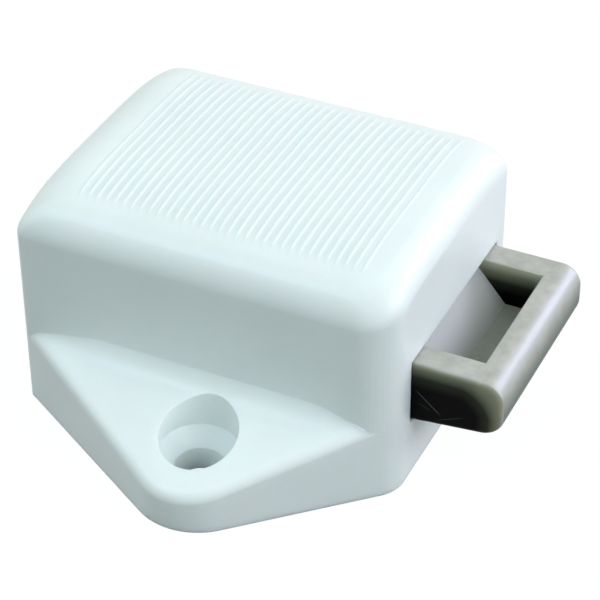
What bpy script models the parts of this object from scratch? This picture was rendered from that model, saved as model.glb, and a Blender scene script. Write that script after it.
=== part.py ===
"""Touch latch for a cupboard door, as an assembly of separate pieces.

A white moulded case with two screw ears holds a push-push mechanism: a grey tongue pinned to a
slider, two coil springs that push it out, and a swinging arm whose pin runs round a heart-shaped
track under the slider. A plate screwed into the case closes its underside.

The origin is on the mounting face, midway between the ears and 20 mm behind the front wall's
face. +X points out of the mouth, +Z up from the mounting face. The tongue is drawn fully out.
"""

import math

import bmesh
import bpy
from mathutils import Matrix, Vector

MM = 0.001

# Case
CASE_FRONT = 20.0 * MM
CASE_LENGTH = 40.0 * MM
CASE_WIDTH = 32.0 * MM
CASE_HEIGHT = 24.6 * MM
SIDE_WALL = 2.3 * MM
FRONT_WALL = 2.5 * MM
REAR_WALL = 2.2 * MM
ROOF = 3.1 * MM
TOP_ROUND = 2.8 * MM
TOP_REAR_RUN = 4.8 * MM
FRONT_CORNER = 3.8 * MM
REAR_CORNER = 1.0 * MM
TOP_CROWN = 2.1 * MM
CROWN_POWER = 4
CROWN_STEPS = 8

# Grip ribs across the top
RIB_COUNT = 33
RIB_REAR_MARGIN = 5.4 * MM
RIB_FRONT_MARGIN = 4.7 * MM
RIB_LENGTH = 24.6 * MM
RIB_WIDTH = 0.34 * MM
RIB_HEIGHT = 0.18 * MM
RIB_ROOT = 0.3 * MM

# Screw ears, each rounded about its screw hole
EAR_TIP_RADIUS = 6.85 * MM
EAR_HEIGHT = 8.5 * MM
EAR_SLOPE = math.radians(20.0)
EAR_EDGE_ROUND = 1.5 * MM
EAR_EDGE_STEPS = 3

# Screw holes in the ears
HOLE_SETBACK = 17.7 * MM
HOLE_Y = 20.95 * MM
HOLE_DIAMETER = 5.0 * MM
RECESS_DIAMETER = 7.8 * MM
RECESS_FLOOR = 4.5 * MM
COUNTERSINK_DEPTH = 1.9 * MM

# Tongue
TONGUE_WIDTH = 21.6 * MM
TONGUE_REACH = 9.3 * MM
TONGUE_TOP = 13.7 * MM
TONGUE_BOTTOM = 6.7 * MM
TONGUE_RISE = 1.0 * MM
NOSE_ROUND = 2.2 * MM
NOSE_BAR = 3.15 * MM
POCKET_RAIL = 3.1 * MM
POCKET_FLOOR = 8.9 * MM
POCKET_FLOOR_LENGTH = 3.75 * MM
POCKET_RAMP_LENGTH = 4.0 * MM
TENON_LENGTH = 8.0 * MM
TENON_HEIGHT = 5.0 * MM
TENON_WIDTH = 12.0 * MM
TONGUE_PIN_DIAMETER = 2.4 * MM

# Slider and its stroke
TRAVEL = 9.5 * MM
REAR_ROOM = 1.1 * MM
SLIDER_WEB = 1.5 * MM
GUIDE_DEPTH = 4.9 * MM
GUIDE_HEIGHT = 1.8 * MM
GUIDE_DROP = 3.7 * MM

# Return springs
SPRING_DIAMETER = 5.4 * MM
SPRING_WIRE = 0.7 * MM
SPRING_TURNS = 12
SPRING_END_PITCH = 1.2 * MM
SPRING_SIDE_COVER = 1.2 * MM
SPRING_TOP_COVER = 1.6 * MM
SPIGOT_DIAMETER = 2.8 * MM
SPIGOT_LENGTH = 4.5 * MM

# Heart track and the swinging arm that follows it
ARM_LENGTH = 12.0 * MM
ARM_THICKNESS = 1.0 * MM
ARM_REAR_WIDTH = 4.4 * MM
ARM_FRONT_WIDTH = 3.0 * MM
ARM_LIFT = 1.8 * MM
ARM_SETBACK = 3.6 * MM
ARM_END_ROUND = 0.9
ARM_BOSS_DIAMETER = 4.8 * MM
FOLLOWER_DIAMETER = 1.4 * MM
FOLLOWER_FLANGE = 2.2 * MM
FOLLOWER_FLANGE_THICKNESS = 0.3 * MM
TRACK_SWING = 4.4 * MM
TRACK_DEPTH = 1.3 * MM
TRACK_NOTCH = 1.6 * MM

# Leaf spring under the follower
LEAF_THICKNESS = 0.4 * MM
LEAF_STEM_WIDTH = 4.2 * MM
LEAF_PADDLE_WIDTH = 11.0 * MM
LEAF_PADDLE_LENGTH = 4.4 * MM
LEAF_STEM_LENGTH = 9.0 * MM
LEAF_FLAT_LENGTH = 4.6 * MM
LEAF_CURL = 0.2 * MM

# Rivets
RIVET_DIAMETER = 2.0 * MM
RIVET_HEAD_DIAMETER = 3.6 * MM
RIVET_HEAD_THICKNESS = 0.35 * MM

# Base plate and its screws
PLATE_THICKNESS = 2.0 * MM
PLATE_LEDGE = 0.9 * MM
PLATE_CORNER = 2.0 * MM
PLATE_RAIL_WIDTH = 1.4 * MM
PLATE_RAIL_INSET = 0.4 * MM
PLATE_RAIL_MARGIN = 2.0 * MM
SCREW_DIAMETER = 2.0 * MM
SCREW_HEAD_DIAMETER = 3.8 * MM
SCREW_GRIP = 3.3 * MM
SCREW_SINK = 0.25 * MM
SCREW_MARGIN = 4.4 * MM
BOSS_DIAMETER = 5.4 * MM

# Clearances
RUN_GAP = 0.3 * MM
SEAT_GAP = 0.3 * MM
FIT_GAP = 0.15 * MM
OVERLAP = 0.5 * MM
WELD = 0.001 * MM

# Facets
CORNER_STEPS = 6
ROUND_STEPS = 6
TIP_STEPS = 12
LEAF_STEPS = 3
SHARP_ANGLE = math.radians(35.0)
SLOPE_MATCH = 0.001
FLAT_ANGLE = math.radians(0.02)
ROUND_PROFILE = 0.5
SMALL_SIDES = 20
BORE_SIDES = 40
COIL_POINTS = 9

# Places worked out from the sizes above
CASE_REAR = CASE_FRONT - CASE_LENGTH
CASE_SIDE = CASE_WIDTH / 2
HOLE_X = CASE_FRONT - HOLE_SETBACK
RIB_FIRST_X = CASE_REAR + RIB_REAR_MARGIN
RIB_LAST_X = CASE_FRONT - RIB_FRONT_MARGIN
RIB_PITCH = (RIB_LAST_X - RIB_FIRST_X) / (RIB_COUNT - 1)
CAVITY_FRONT = CASE_FRONT - FRONT_WALL
CAVITY_REAR = CASE_REAR + REAR_WALL
CAVITY_SIDE = CASE_SIDE - SIDE_WALL
CAVITY_TOP = CASE_HEIGHT - ROOF
PLATE_SEAT = PLATE_THICKNESS + SEAT_GAP

TONGUE_SIDE = TONGUE_WIDTH / 2
TONGUE_NOSE = CASE_FRONT + TONGUE_REACH
TONGUE_REAR = CAVITY_FRONT
TONGUE_MIDDLE = (TONGUE_TOP + TONGUE_BOTTOM) / 2
MOUTH_SIDE = TONGUE_SIDE + RUN_GAP
MOUTH_TOP = TONGUE_TOP + RUN_GAP
MOUTH_BOTTOM = TONGUE_BOTTOM - RUN_GAP

ARM_BOTTOM = PLATE_THICKNESS + ARM_LIFT
ARM_TOP = ARM_BOTTOM + ARM_THICKNESS
ARM_PIVOT_X = CAVITY_REAR + ARM_SETBACK
TRACK_START_X = ARM_PIVOT_X + ARM_LENGTH
TRACK_HALF = FOLLOWER_DIAMETER / 2 + RUN_GAP
SWING_ANGLE = math.asin(TRACK_SWING / ARM_LENGTH)
TRACK_END_X = TRACK_START_X + TRAVEL - ARM_LENGTH * (1 - math.cos(SWING_ANGLE))

SLIDER_BOTTOM = ARM_TOP + FIT_GAP + RIVET_HEAD_THICKNESS + RUN_GAP
SLIDER_TOP = CAVITY_TOP - RUN_GAP
SLIDER_FRONT = CAVITY_FRONT - RUN_GAP
SLIDER_REAR = CAVITY_REAR + REAR_ROOM + TRAVEL
SLIDER_SIDE = CAVITY_SIDE - GUIDE_DEPTH - RUN_GAP
TRACK_TOP = SLIDER_BOTTOM + TRACK_DEPTH
TENON_REAR = TONGUE_REAR - TENON_LENGTH
TENON_PIN_X = TONGUE_REAR - TENON_LENGTH / 2

POCKET_RADIUS = SPRING_DIAMETER / 2 + RUN_GAP
SPRING_Y = SLIDER_SIDE - SPRING_SIDE_COVER - POCKET_RADIUS
SPRING_Z = SLIDER_TOP - SPRING_TOP_COVER - POCKET_RADIUS
SPRING_SEAT_X = TENON_REAR - SEAT_GAP - SLIDER_WEB

PLATE_RAIL_OUTER = SLIDER_SIDE - PLATE_RAIL_INSET
PLATE_RAIL_INNER = PLATE_RAIL_OUTER - PLATE_RAIL_WIDTH
PLATE_RAIL_TOP = SLIDER_BOTTOM - RUN_GAP
BOSS_Y = SLIDER_SIDE + RUN_GAP + BOSS_DIAMETER / 2
BOSS_TOP = MOUTH_BOTTOM - RUN_GAP
SIDES = {"left": 1, "right": -1}


def clear_scene():
    for item in list(bpy.data.objects):
        bpy.data.objects.remove(item, do_unlink=True)


def new_collection(name):
    group = bpy.data.collections.new(name)
    bpy.context.scene.collection.children.link(group)
    return group


def new_material(name, colour, roughness, metallic=0.0):
    finish = bpy.data.materials.new(name)
    finish.use_nodes = True
    shader = finish.node_tree.nodes["Principled BSDF"]
    shader.inputs["Base Color"].default_value = (*colour, 1.0)
    shader.inputs["Roughness"].default_value = roughness
    shader.inputs["Metallic"].default_value = metallic
    return finish


def smooth_round_faces(mesh):
    mesh.shade_smooth()
    mesh.set_sharp_from_angle(angle=SHARP_ANGLE)


def add_part(name, mesh, finish, place=(0.0, 0.0, 0.0)):
    """One named piece of the latch."""
    if not mesh.materials:
        mesh.materials.append(finish)
    smooth_round_faces(mesh)
    part = bpy.data.objects.new(name, mesh)
    PARTS.objects.link(part)
    part.location = place
    return part


def add_axis(name, place):
    """An empty on a joint's axis, which carries the pieces that move with it."""
    axis = bpy.data.objects.new(name, None)
    PARTS.objects.link(axis)
    axis.location = place
    return axis


def shape(part, operation, mesh):
    """Cuts a mesh out of a part, adds it or keeps only what they share."""
    tool = bpy.data.objects.new(f"{part.name}_{mesh.name}", mesh)
    CUTTERS.objects.link(tool)
    tool.hide_render = True
    tool.display_type = "WIRE"
    step = part.modifiers.new(mesh.name, "BOOLEAN")
    step.operation = operation
    step.solver = "EXACT"
    step.object = tool


def finish_mesh(name, bm):
    bmesh.ops.recalc_face_normals(bm, faces=bm.faces)
    mesh = bpy.data.meshes.new(name)
    bm.to_mesh(mesh)
    bm.free()
    return mesh


def join_meshes(name, meshes):
    """Several closed shapes in one mesh, for one cut or one union."""
    bm = bmesh.new()
    for mesh in meshes:
        bm.from_mesh(mesh)
        bpy.data.meshes.remove(mesh)
    return finish_mesh(name, bm)


def box_mesh(name, low, high):
    bm = bmesh.new()
    bmesh.ops.create_cube(bm, size=1.0)
    size = Vector(high) - Vector(low)
    bmesh.ops.scale(bm, vec=size, verts=bm.verts)
    bmesh.ops.translate(bm, vec=(Vector(low) + Vector(high)) / 2, verts=bm.verts)
    return finish_mesh(name, bm)


def rod_mesh(name, start, end, radius, sides=SMALL_SIDES):
    """A round bar between two points."""
    axis = Vector(end) - Vector(start)
    turn = axis.to_track_quat("Z", "Y").to_matrix().to_4x4()
    place = Matrix.Translation((Vector(start) + Vector(end)) / 2) @ turn
    bm = bmesh.new()
    bmesh.ops.create_cone(
        bm, cap_ends=True, segments=sides, radius1=radius, radius2=radius, depth=axis.length, matrix=place
    )
    return finish_mesh(name, bm)


def turned_mesh(name, profile, sides=SMALL_SIDES, place=(0.0, 0.0, 0.0)):
    """A solid turned about Z from (radius, height) points that start and end on the axis."""
    bm = bmesh.new()
    points = [bm.verts.new((radius, 0.0, height)) for radius, height in profile]
    edges = [bm.edges.new(pair) for pair in zip(points, points[1:])]
    bmesh.ops.spin(
        bm, geom=points + edges, cent=(0, 0, 0), axis=(0, 0, 1), angle=math.tau, steps=sides, use_merge=True
    )
    bmesh.ops.remove_doubles(bm, verts=bm.verts, dist=WELD)
    bmesh.ops.translate(bm, vec=place, verts=bm.verts)
    return finish_mesh(name, bm)


def rounded_polygon(corners, radii, steps=CORNER_STEPS):
    """A closed outline whose corners are arcs of the given radii; a radius of 0 stays sharp."""
    outline = []
    for index, corner in enumerate(corners):
        here = Vector(corner)
        back = (Vector(corners[index - 1]) - here).normalized()
        ahead = (Vector(corners[(index + 1) % len(corners)]) - here).normalized()
        radius = radii[index]
        if radius == 0:
            outline.append(here)
            continue
        half_angle = back.angle(ahead) / 2
        centre = here + (back + ahead).normalized() * (radius / math.sin(half_angle))
        first = here + back * (radius / math.tan(half_angle)) - centre
        last = here + ahead * (radius / math.tan(half_angle)) - centre
        sweep = first.angle_signed(last)
        for step in range(steps + 1):
            outline.append(centre + Matrix.Rotation(-sweep * step / steps, 2) @ first)
    return outline


def grown_triangle(corners, distance):
    """The triangle whose sides lie this far outside the given one's."""
    grown = []
    for index, corner in enumerate(corners):
        here = Vector(corner)
        back = (Vector(corners[index - 1]) - here).normalized()
        ahead = (Vector(corners[(index + 1) % 3]) - here).normalized()
        half_angle = back.angle(ahead) / 2
        grown.append(here - (back + ahead).normalized() * (distance / math.sin(half_angle)))
    return grown


def outline_mesh(name, outlines, low, high, upright=False):
    """Flat outlines, with inner ones as holes, given a thickness.

    Lying, an outline is in X and Y and runs from low to high in Z. Upright, it is in X and Z and
    runs from low to high in Y.
    """
    curve = bpy.data.curves.new(name, "CURVE")
    curve.dimensions = "2D"
    curve.fill_mode = "BOTH"
    curve.extrude = (high - low) / 2
    for outline in outlines:
        spline = curve.splines.new("POLY")
        spline.points.add(len(outline) - 1)
        for point, place in zip(spline.points, outline):
            point.co = (place[0], place[1], 0.0, 1.0)
        spline.use_cyclic_u = True
    carrier = bpy.data.objects.new(name, curve)
    CUTTERS.objects.link(carrier)
    view = bpy.context.evaluated_depsgraph_get()
    solid = bpy.data.meshes.new_from_object(carrier.evaluated_get(view))
    bpy.data.objects.remove(carrier)
    bm = bmesh.new()
    bm.from_mesh(solid)
    bpy.data.meshes.remove(solid)
    bmesh.ops.remove_doubles(bm, verts=bm.verts, dist=WELD)
    middle = (low + high) / 2
    bmesh.ops.translate(bm, vec=(0, 0, middle), verts=bm.verts)
    if upright:
        bmesh.ops.rotate(bm, cent=(0, 0, 0), matrix=Matrix.Rotation(math.pi / 2, 3, "X"), verts=bm.verts)
        bmesh.ops.scale(bm, vec=(1, -1, 1), verts=bm.verts)
    return finish_mesh(name, bm)


def mirrored(mesh_maker):
    """The same shape on both sides of the latch."""
    return [mesh_maker(sign) for sign in SIDES.values()]


def case_section(share, height):
    """Corner points of the case at one height, drawn in by a share of the top edge's rounding."""
    front = CASE_FRONT - share * TOP_ROUND
    rear = CASE_REAR + share * TOP_REAR_RUN
    side = CASE_SIDE - share * TOP_ROUND
    corners = [(rear, -side), (front, -side), (front, side), (rear, side)]
    radii = [REAR_CORNER, FRONT_CORNER, FRONT_CORNER, REAR_CORNER]
    return [(*point, height) for point in rounded_polygon(corners, radii)]


def crown_drop(y):
    """How far the crowned top lies below its middle line."""
    return TOP_CROWN * (abs(y) / CASE_SIDE) ** CROWN_POWER


def crown_cuts():
    """Places across the case where its top is divided, closer where it falls faster."""
    return [CASE_SIDE * math.sqrt(step / CROWN_STEPS) for step in range(CROWN_STEPS)]


def crown_top(bm):
    """Bends everything above the case's walls down towards both sides."""
    for y in crown_cuts():
        for sign in SIDES.values():
            bmesh.ops.bisect_plane(
                bm, geom=[*bm.verts, *bm.edges, *bm.faces], plane_co=(0.0, sign * y, 0.0), plane_no=(0, 1, 0)
            )
    for vert in bm.verts:
        if vert.co.z > CASE_HEIGHT - TOP_ROUND - WELD:
            vert.co.z -= crown_drop(vert.co.y)
    bmesh.ops.connect_verts_nonplanar(bm, angle_limit=FLAT_ANGLE, faces=bm.faces)


def case_mesh():
    """The outside of the case: a rounded box lofted from its foot over its rounded, crowned top."""
    sections = [case_section(0.0, 0.0)]
    for step in range(ROUND_STEPS + 1):
        angle = math.pi / 2 * step / ROUND_STEPS
        height = CASE_HEIGHT - TOP_ROUND * (1 - math.sin(angle))
        sections.append(case_section(1 - math.cos(angle), height))
    bm = bmesh.new()
    rings = [[bm.verts.new(point) for point in section] for section in sections]
    count = len(rings[0])
    for lower, upper in zip(rings, rings[1:]):
        for index in range(count):
            after = (index + 1) % count
            bm.faces.new((lower[index], lower[after], upper[after], upper[index]))
    bm.faces.new(rings[0])
    bm.faces.new(rings[-1])
    crown_top(bm)
    return finish_mesh("case", bm)


def outer_tangent(centre, radius, other_centre, other_radius, side):
    """The straight line that touches two circles, as its two ends; side picks which of the two."""
    gap = other_centre - centre
    along = (radius - other_radius) / gap.length
    across = side * math.sqrt(1 - along * along)
    direction = gap.normalized()
    normal = along * direction + across * Vector((-direction.y, direction.x))
    return centre + radius * normal, other_centre + other_radius * normal


def ear_outline():
    """The right-hand ear, drawn round its screw hole and tangent to the case's upright corners."""
    rear = Vector((CASE_REAR + REAR_CORNER, -CASE_SIDE + REAR_CORNER))
    front = Vector((CASE_FRONT - FRONT_CORNER, -CASE_SIDE + FRONT_CORNER))
    tip = Vector((HOLE_X, -HOLE_Y))
    rear_touch, first = outer_tangent(rear, REAR_CORNER, tip, EAR_TIP_RADIUS, -1)
    last, front_touch = outer_tangent(tip, EAR_TIP_RADIUS, front, FRONT_CORNER, -1)
    sweep = (first - tip).angle_signed(last - tip)
    turns = [Matrix.Rotation(-sweep * step / TIP_STEPS, 2) for step in range(TIP_STEPS + 1)]
    arc = [tip + turn @ (first - tip) for turn in turns]
    return [rear, rear_touch, *arc, front_touch, front]


def ear_plate_mesh():
    """Both screw ears and the foot between them, with tops that fall away from the case."""
    right = ear_outline()
    left = [(x, -y) for x, y in reversed(right)]
    flat = outline_mesh("ears", [right + left], 0.0, EAR_HEIGHT + OVERLAP)
    bm = bmesh.new()
    bm.from_mesh(flat)
    bpy.data.meshes.remove(flat)
    for sign in SIDES.values():
        normal = Vector((0.0, sign * math.sin(EAR_SLOPE), math.cos(EAR_SLOPE)))
        cut = bmesh.ops.bisect_plane(
            bm,
            geom=[*bm.verts, *bm.edges, *bm.faces],
            plane_co=(0.0, sign * CASE_SIDE, EAR_HEIGHT),
            plane_no=normal,
            clear_outer=True,
        )
        rim = [item for item in cut["geom_cut"] if isinstance(item, bmesh.types.BMEdge)]
        bmesh.ops.holes_fill(bm, edges=rim)
    bmesh.ops.recalc_face_normals(bm, faces=bm.faces)
    inmost = min(-right[1].y, -right[-2].y) - WELD
    rims = [edge for edge in bm.edges if is_ear_rim(edge, inmost)]
    bmesh.ops.bevel(
        bm,
        geom=rims,
        offset=EAR_EDGE_ROUND,
        segments=EAR_EDGE_STEPS,
        profile=ROUND_PROFILE,
        affect="EDGES",
        clamp_overlap=True,
        material=-1,
    )
    return finish_mesh("ears", bm)


def is_ear_rim(edge, inmost):
    """Whether an edge runs along the top of an ear's side, outside the case."""
    if any(abs(vert.co.y) < inmost for vert in edge.verts):
        return False
    slope = math.cos(EAR_SLOPE)
    heights = sorted(abs(face.normal.z) for face in edge.link_faces)
    return heights[0] < slope / 2 and math.isclose(heights[-1], slope, rel_tol=SLOPE_MATCH)


def rib_outline():
    """A grip rib seen along X: a thin strip that follows the crowned top."""
    side = RIB_LENGTH / 2
    half = [y for y in crown_cuts() if y < side] + [side]
    line = [-y for y in reversed(half[1:])] + half
    upper = [(y, CASE_HEIGHT + RIB_HEIGHT - crown_drop(y)) for y in line]
    lower = [(y, CASE_HEIGHT - RIB_ROOT - crown_drop(y)) for y in reversed(line)]
    return upper + lower


def ribs_mesh():
    """Fine grip ribs that run across the top."""
    outline = rib_outline()
    bm = bmesh.new()
    for index in range(RIB_COUNT):
        rear = RIB_FIRST_X + index * RIB_PITCH - RIB_WIDTH / 2
        face = bm.faces.new([bm.verts.new((rear, y, z)) for y, z in outline])
        grown = bmesh.ops.extrude_face_region(bm, geom=[face])["geom"]
        ahead = [item for item in grown if isinstance(item, bmesh.types.BMVert)]
        bmesh.ops.translate(bm, vec=(RIB_WIDTH, 0.0, 0.0), verts=ahead)
    return finish_mesh("ribs", bm)


def cavity_mesh():
    low = (CAVITY_REAR, -CAVITY_SIDE, -OVERLAP)
    return box_mesh("cavity", low, (CAVITY_FRONT, CAVITY_SIDE, CAVITY_TOP))


def plate_outline(gap):
    """The base plate's outline, or its recess in the case where gap is 0."""
    front = CAVITY_FRONT + PLATE_LEDGE - gap
    rear = CAVITY_REAR - PLATE_LEDGE + gap
    side = CAVITY_SIDE + PLATE_LEDGE - gap
    corners = [(rear, -side), (front, -side), (front, side), (rear, side)]
    return rounded_polygon(corners, [PLATE_CORNER] * 4)


def guide_mesh(sign):
    """One of the rails inside the case that keep the slider straight."""
    inner = SLIDER_SIDE + RUN_GAP
    top = SLIDER_TOP - GUIDE_DROP
    edges = sorted((sign * inner, sign * (CAVITY_SIDE + OVERLAP)))
    low = (CAVITY_REAR - OVERLAP, edges[0], top - GUIDE_HEIGHT)
    return box_mesh("guide", low, (CAVITY_FRONT + OVERLAP, edges[1], top))


def spigot_mesh(sign):
    """The peg on the rear wall that centres a spring."""
    start = (CAVITY_REAR - OVERLAP, sign * SPRING_Y, SPRING_Z)
    end = (CAVITY_REAR + SPIGOT_LENGTH, sign * SPRING_Y, SPRING_Z)
    return rod_mesh("spigot", start, end, SPIGOT_DIAMETER / 2)


def screw_places():
    ends = (CAVITY_REAR + SCREW_MARGIN, CAVITY_FRONT - SCREW_MARGIN)
    return [(x, sign * BOSS_Y) for x in ends for sign in SIDES.values()]


def boss_meshes():
    """Bosses on the side walls that the base plate's screws bite into."""
    return [
        rod_mesh("boss", (x, y, PLATE_SEAT), (x, y, BOSS_TOP), BOSS_DIAMETER / 2) for x, y in screw_places()
    ]


def pilot_meshes():
    """Pilot holes in the bosses, open towards the base plate."""
    radius = SCREW_DIAMETER / 2 + FIT_GAP
    top = PLATE_THICKNESS + SCREW_GRIP + SEAT_GAP
    return [rod_mesh("pilot", (x, y, 0.0), (x, y, top), radius) for x, y in screw_places()]


def ear_hole_mesh(sign):
    """A screw hole with a countersink at the foot of a round recess."""
    recess = RECESS_DIAMETER / 2
    hole = HOLE_DIAMETER / 2
    above = EAR_HEIGHT + OVERLAP
    profile = [
        (0.0, above),
        (recess, above),
        (recess, RECESS_FLOOR),
        (hole, RECESS_FLOOR - COUNTERSINK_DEPTH),
        (hole, -OVERLAP),
        (0.0, -OVERLAP),
    ]
    return turned_mesh("hole", profile, BORE_SIDES, (HOLE_X, sign * HOLE_Y, 0.0))


def make_housing():
    housing = add_part("housing", case_mesh(), WHITE_PLASTIC)
    shape(housing, "UNION", ear_plate_mesh())
    shape(housing, "DIFFERENCE", cavity_mesh())
    fittings = mirrored(guide_mesh) + mirrored(spigot_mesh) + boss_meshes()
    shape(housing, "UNION", join_meshes("fittings", fittings))
    shape(housing, "DIFFERENCE", outline_mesh("plate_recess", [plate_outline(0.0)], -OVERLAP, PLATE_SEAT))
    shape(housing, "DIFFERENCE", join_meshes("pilots", pilot_meshes()))
    mouth_low = (CAVITY_FRONT - OVERLAP, -MOUTH_SIDE, MOUTH_BOTTOM)
    mouth_high = (CASE_FRONT + OVERLAP, MOUTH_SIDE, MOUTH_TOP)
    shape(housing, "DIFFERENCE", box_mesh("mouth", mouth_low, mouth_high))
    shape(housing, "DIFFERENCE", join_meshes("holes", mirrored(ear_hole_mesh)))
    shape(housing, "UNION", ribs_mesh())


def plate_rail_mesh(sign):
    """A rail on the base plate that the slider runs on."""
    edges = sorted((sign * PLATE_RAIL_INNER, sign * PLATE_RAIL_OUTER))
    low = (CAVITY_REAR + PLATE_RAIL_MARGIN, edges[0], PLATE_THICKNESS - OVERLAP)
    return box_mesh("rail", low, (CAVITY_FRONT - PLATE_RAIL_MARGIN, edges[1], PLATE_RAIL_TOP))


def screw_profile(gap):
    """A countersunk screw as (radius, height) points, or its hole where gap is more than 0."""
    head = SCREW_HEAD_DIAMETER / 2 + gap
    shank = SCREW_DIAMETER / 2 + gap
    tip = PLATE_THICKNESS + SCREW_GRIP
    shoulder = SCREW_SINK + head - shank
    profile = [(0.0, tip), (shank, tip), (shank, shoulder), (head, SCREW_SINK)]
    if gap > 0:
        profile.append((head, -OVERLAP))
    return profile + [(0.0, profile[-1][1])]


def make_base_plate():
    mesh = outline_mesh("base_plate", [plate_outline(SEAT_GAP)], 0.0, PLATE_THICKNESS)
    plate = add_part("base_plate", mesh, BASE_PLASTIC)
    boss_low = (ARM_PIVOT_X, 0.0, PLATE_THICKNESS - OVERLAP)
    boss_high = (ARM_PIVOT_X, 0.0, ARM_BOTTOM - SEAT_GAP)
    risers = mirrored(plate_rail_mesh) + [rod_mesh("arm_boss", boss_low, boss_high, ARM_BOSS_DIAMETER / 2)]
    shape(plate, "UNION", join_meshes("risers", risers))
    holes = [turned_mesh("hole", screw_profile(FIT_GAP), place=(x, y, 0.0)) for x, y in screw_places()]
    radius = RIVET_DIAMETER / 2 + FIT_GAP
    for x in (ARM_PIVOT_X, leaf_rivet_x()):
        holes.append(rod_mesh("rivet_hole", (x, 0.0, -OVERLAP), (x, 0.0, ARM_BOTTOM), radius))
    shape(plate, "DIFFERENCE", join_meshes("holes", holes))


def make_base_screws():
    mesh = turned_mesh("base_screw", screw_profile(0.0))
    names = ("rear_left", "rear_right", "front_left", "front_right")
    for name, (x, y) in zip(names, screw_places()):
        add_part(f"base_screw_{name}", mesh, ZINC_STEEL, place=(x, y, 0.0))


def tongue_mesh():
    """The tongue's side view given its width, with a rounded nose and a rising underside."""
    corners = [
        (TONGUE_REAR, TONGUE_BOTTOM),
        (CASE_FRONT, TONGUE_BOTTOM),
        (TONGUE_NOSE, TONGUE_BOTTOM + TONGUE_RISE),
        (TONGUE_NOSE, TONGUE_TOP),
        (TONGUE_REAR, TONGUE_TOP),
    ]
    outline = rounded_polygon(corners, [0.0, 0.0, NOSE_ROUND, NOSE_ROUND, 0.0])
    return outline_mesh("tongue", [outline], -TONGUE_SIDE, TONGUE_SIDE, upright=True)


def strike_pocket_mesh():
    """The pocket that takes the strike's hook: a steep ramp, a flat floor and an upright front."""
    front = TONGUE_NOSE - NOSE_BAR
    foot = front - POCKET_FLOOR_LENGTH
    top = foot - POCKET_RAMP_LENGTH
    above = TONGUE_TOP + OVERLAP
    outline = [(foot, POCKET_FLOOR), (front, POCKET_FLOOR), (front, above), (top, above), (top, TONGUE_TOP)]
    side = TONGUE_SIDE - POCKET_RAIL
    return outline_mesh("pocket", [outline], -side, side, upright=True)


def tenon_mesh(gap):
    """The tongue's tail, or its slot in the slider where gap is more than 0."""
    half_height = TENON_HEIGHT / 2 + gap
    half_width = TENON_WIDTH / 2 + gap
    rear = TENON_REAR - (SEAT_GAP if gap else 0.0)
    low = (rear, -half_width, TONGUE_MIDDLE - half_height)
    return box_mesh("tenon", low, (TONGUE_REAR + OVERLAP, half_width, TONGUE_MIDDLE + half_height))


def cross_rod_mesh(half_length, gap):
    """The pin that holds the tongue in the slider, or its hole where gap is more than 0."""
    start = (TENON_PIN_X, -half_length, TONGUE_MIDDLE)
    end = (TENON_PIN_X, half_length, TONGUE_MIDDLE)
    return rod_mesh("pin_hole", start, end, TONGUE_PIN_DIAMETER / 2 + gap)


def make_tongue(axis):
    tongue = add_part("tongue", tongue_mesh(), SATIN_ZINC)
    shape(tongue, "DIFFERENCE", strike_pocket_mesh())
    shape(tongue, "UNION", tenon_mesh(0.0))
    shape(tongue, "DIFFERENCE", cross_rod_mesh(TONGUE_SIDE, FIT_GAP))
    carry(axis, tongue)


def carry(axis, part):
    """Hangs a part and its cutters on a joint's empty, where they stand."""
    tools = [step.object for step in part.modifiers if step.type == "BOOLEAN"]
    for item in [part, *tools]:
        item.parent = axis
        item.location = item.location - axis.location


def track_outline():
    """The outside of the heart track: a triangle round the follower's three turning points."""
    points = [(TRACK_START_X, 0.0), (TRACK_END_X, -TRACK_SWING), (TRACK_END_X, TRACK_SWING)]
    return rounded_polygon(grown_triangle(points, TRACK_HALF), [TRACK_HALF] * 3)


def island_outline():
    """The heart in the middle of the track, with the notch that holds the latch shut."""
    lean = math.atan2(TRACK_SWING, TRACK_END_X - TRACK_START_X)
    tip = TRACK_START_X + TRACK_HALF / math.sin(lean)
    front = TRACK_END_X - TRACK_HALF
    lobe = (front - tip) * math.tan(lean)
    notch = front - TRACK_NOTCH
    corners = [(tip, 0.0), (front, -lobe), (notch, 0.0), (front, lobe)]
    radius = FOLLOWER_DIAMETER / 2
    return rounded_polygon(corners, [radius / 4, radius / 2, radius, radius / 2], steps=ROUND_STEPS)


def spring_pocket_mesh(sign):
    """The bore in the slider that a return spring pushes in."""
    start = (SLIDER_REAR - OVERLAP, sign * SPRING_Y, SPRING_Z)
    end = (SPRING_SEAT_X, sign * SPRING_Y, SPRING_Z)
    return rod_mesh("spring_pocket", start, end, POCKET_RADIUS, BORE_SIDES)


def slider_core_mesh():
    """The hollow moulded into the slider's rear, between the track and the springs."""
    side = SLIDER_SIDE - SLIDER_WEB
    low = (SLIDER_REAR - OVERLAP, -side, TRACK_TOP + SLIDER_WEB)
    high = (SPRING_SEAT_X - SLIDER_WEB, side, SPRING_Z - POCKET_RADIUS - SLIDER_WEB)
    return box_mesh("core", low, high)


def make_slider(axis):
    low = (SLIDER_REAR, -SLIDER_SIDE, SLIDER_BOTTOM)
    high = (SLIDER_FRONT, SLIDER_SIDE, SLIDER_TOP)
    slider = add_part("slider", box_mesh("slider", low, high), ACETAL)
    shape(slider, "DIFFERENCE", join_meshes("spring_pockets", mirrored(spring_pocket_mesh)))
    shape(slider, "DIFFERENCE", slider_core_mesh())
    shape(slider, "DIFFERENCE", tenon_mesh(FIT_GAP))
    shape(slider, "DIFFERENCE", cross_rod_mesh(CAVITY_SIDE, FIT_GAP))
    outlines = [track_outline(), island_outline()]
    shape(slider, "DIFFERENCE", outline_mesh("heart_track", outlines, SLIDER_BOTTOM - OVERLAP, TRACK_TOP))
    carry(axis, slider)


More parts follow.
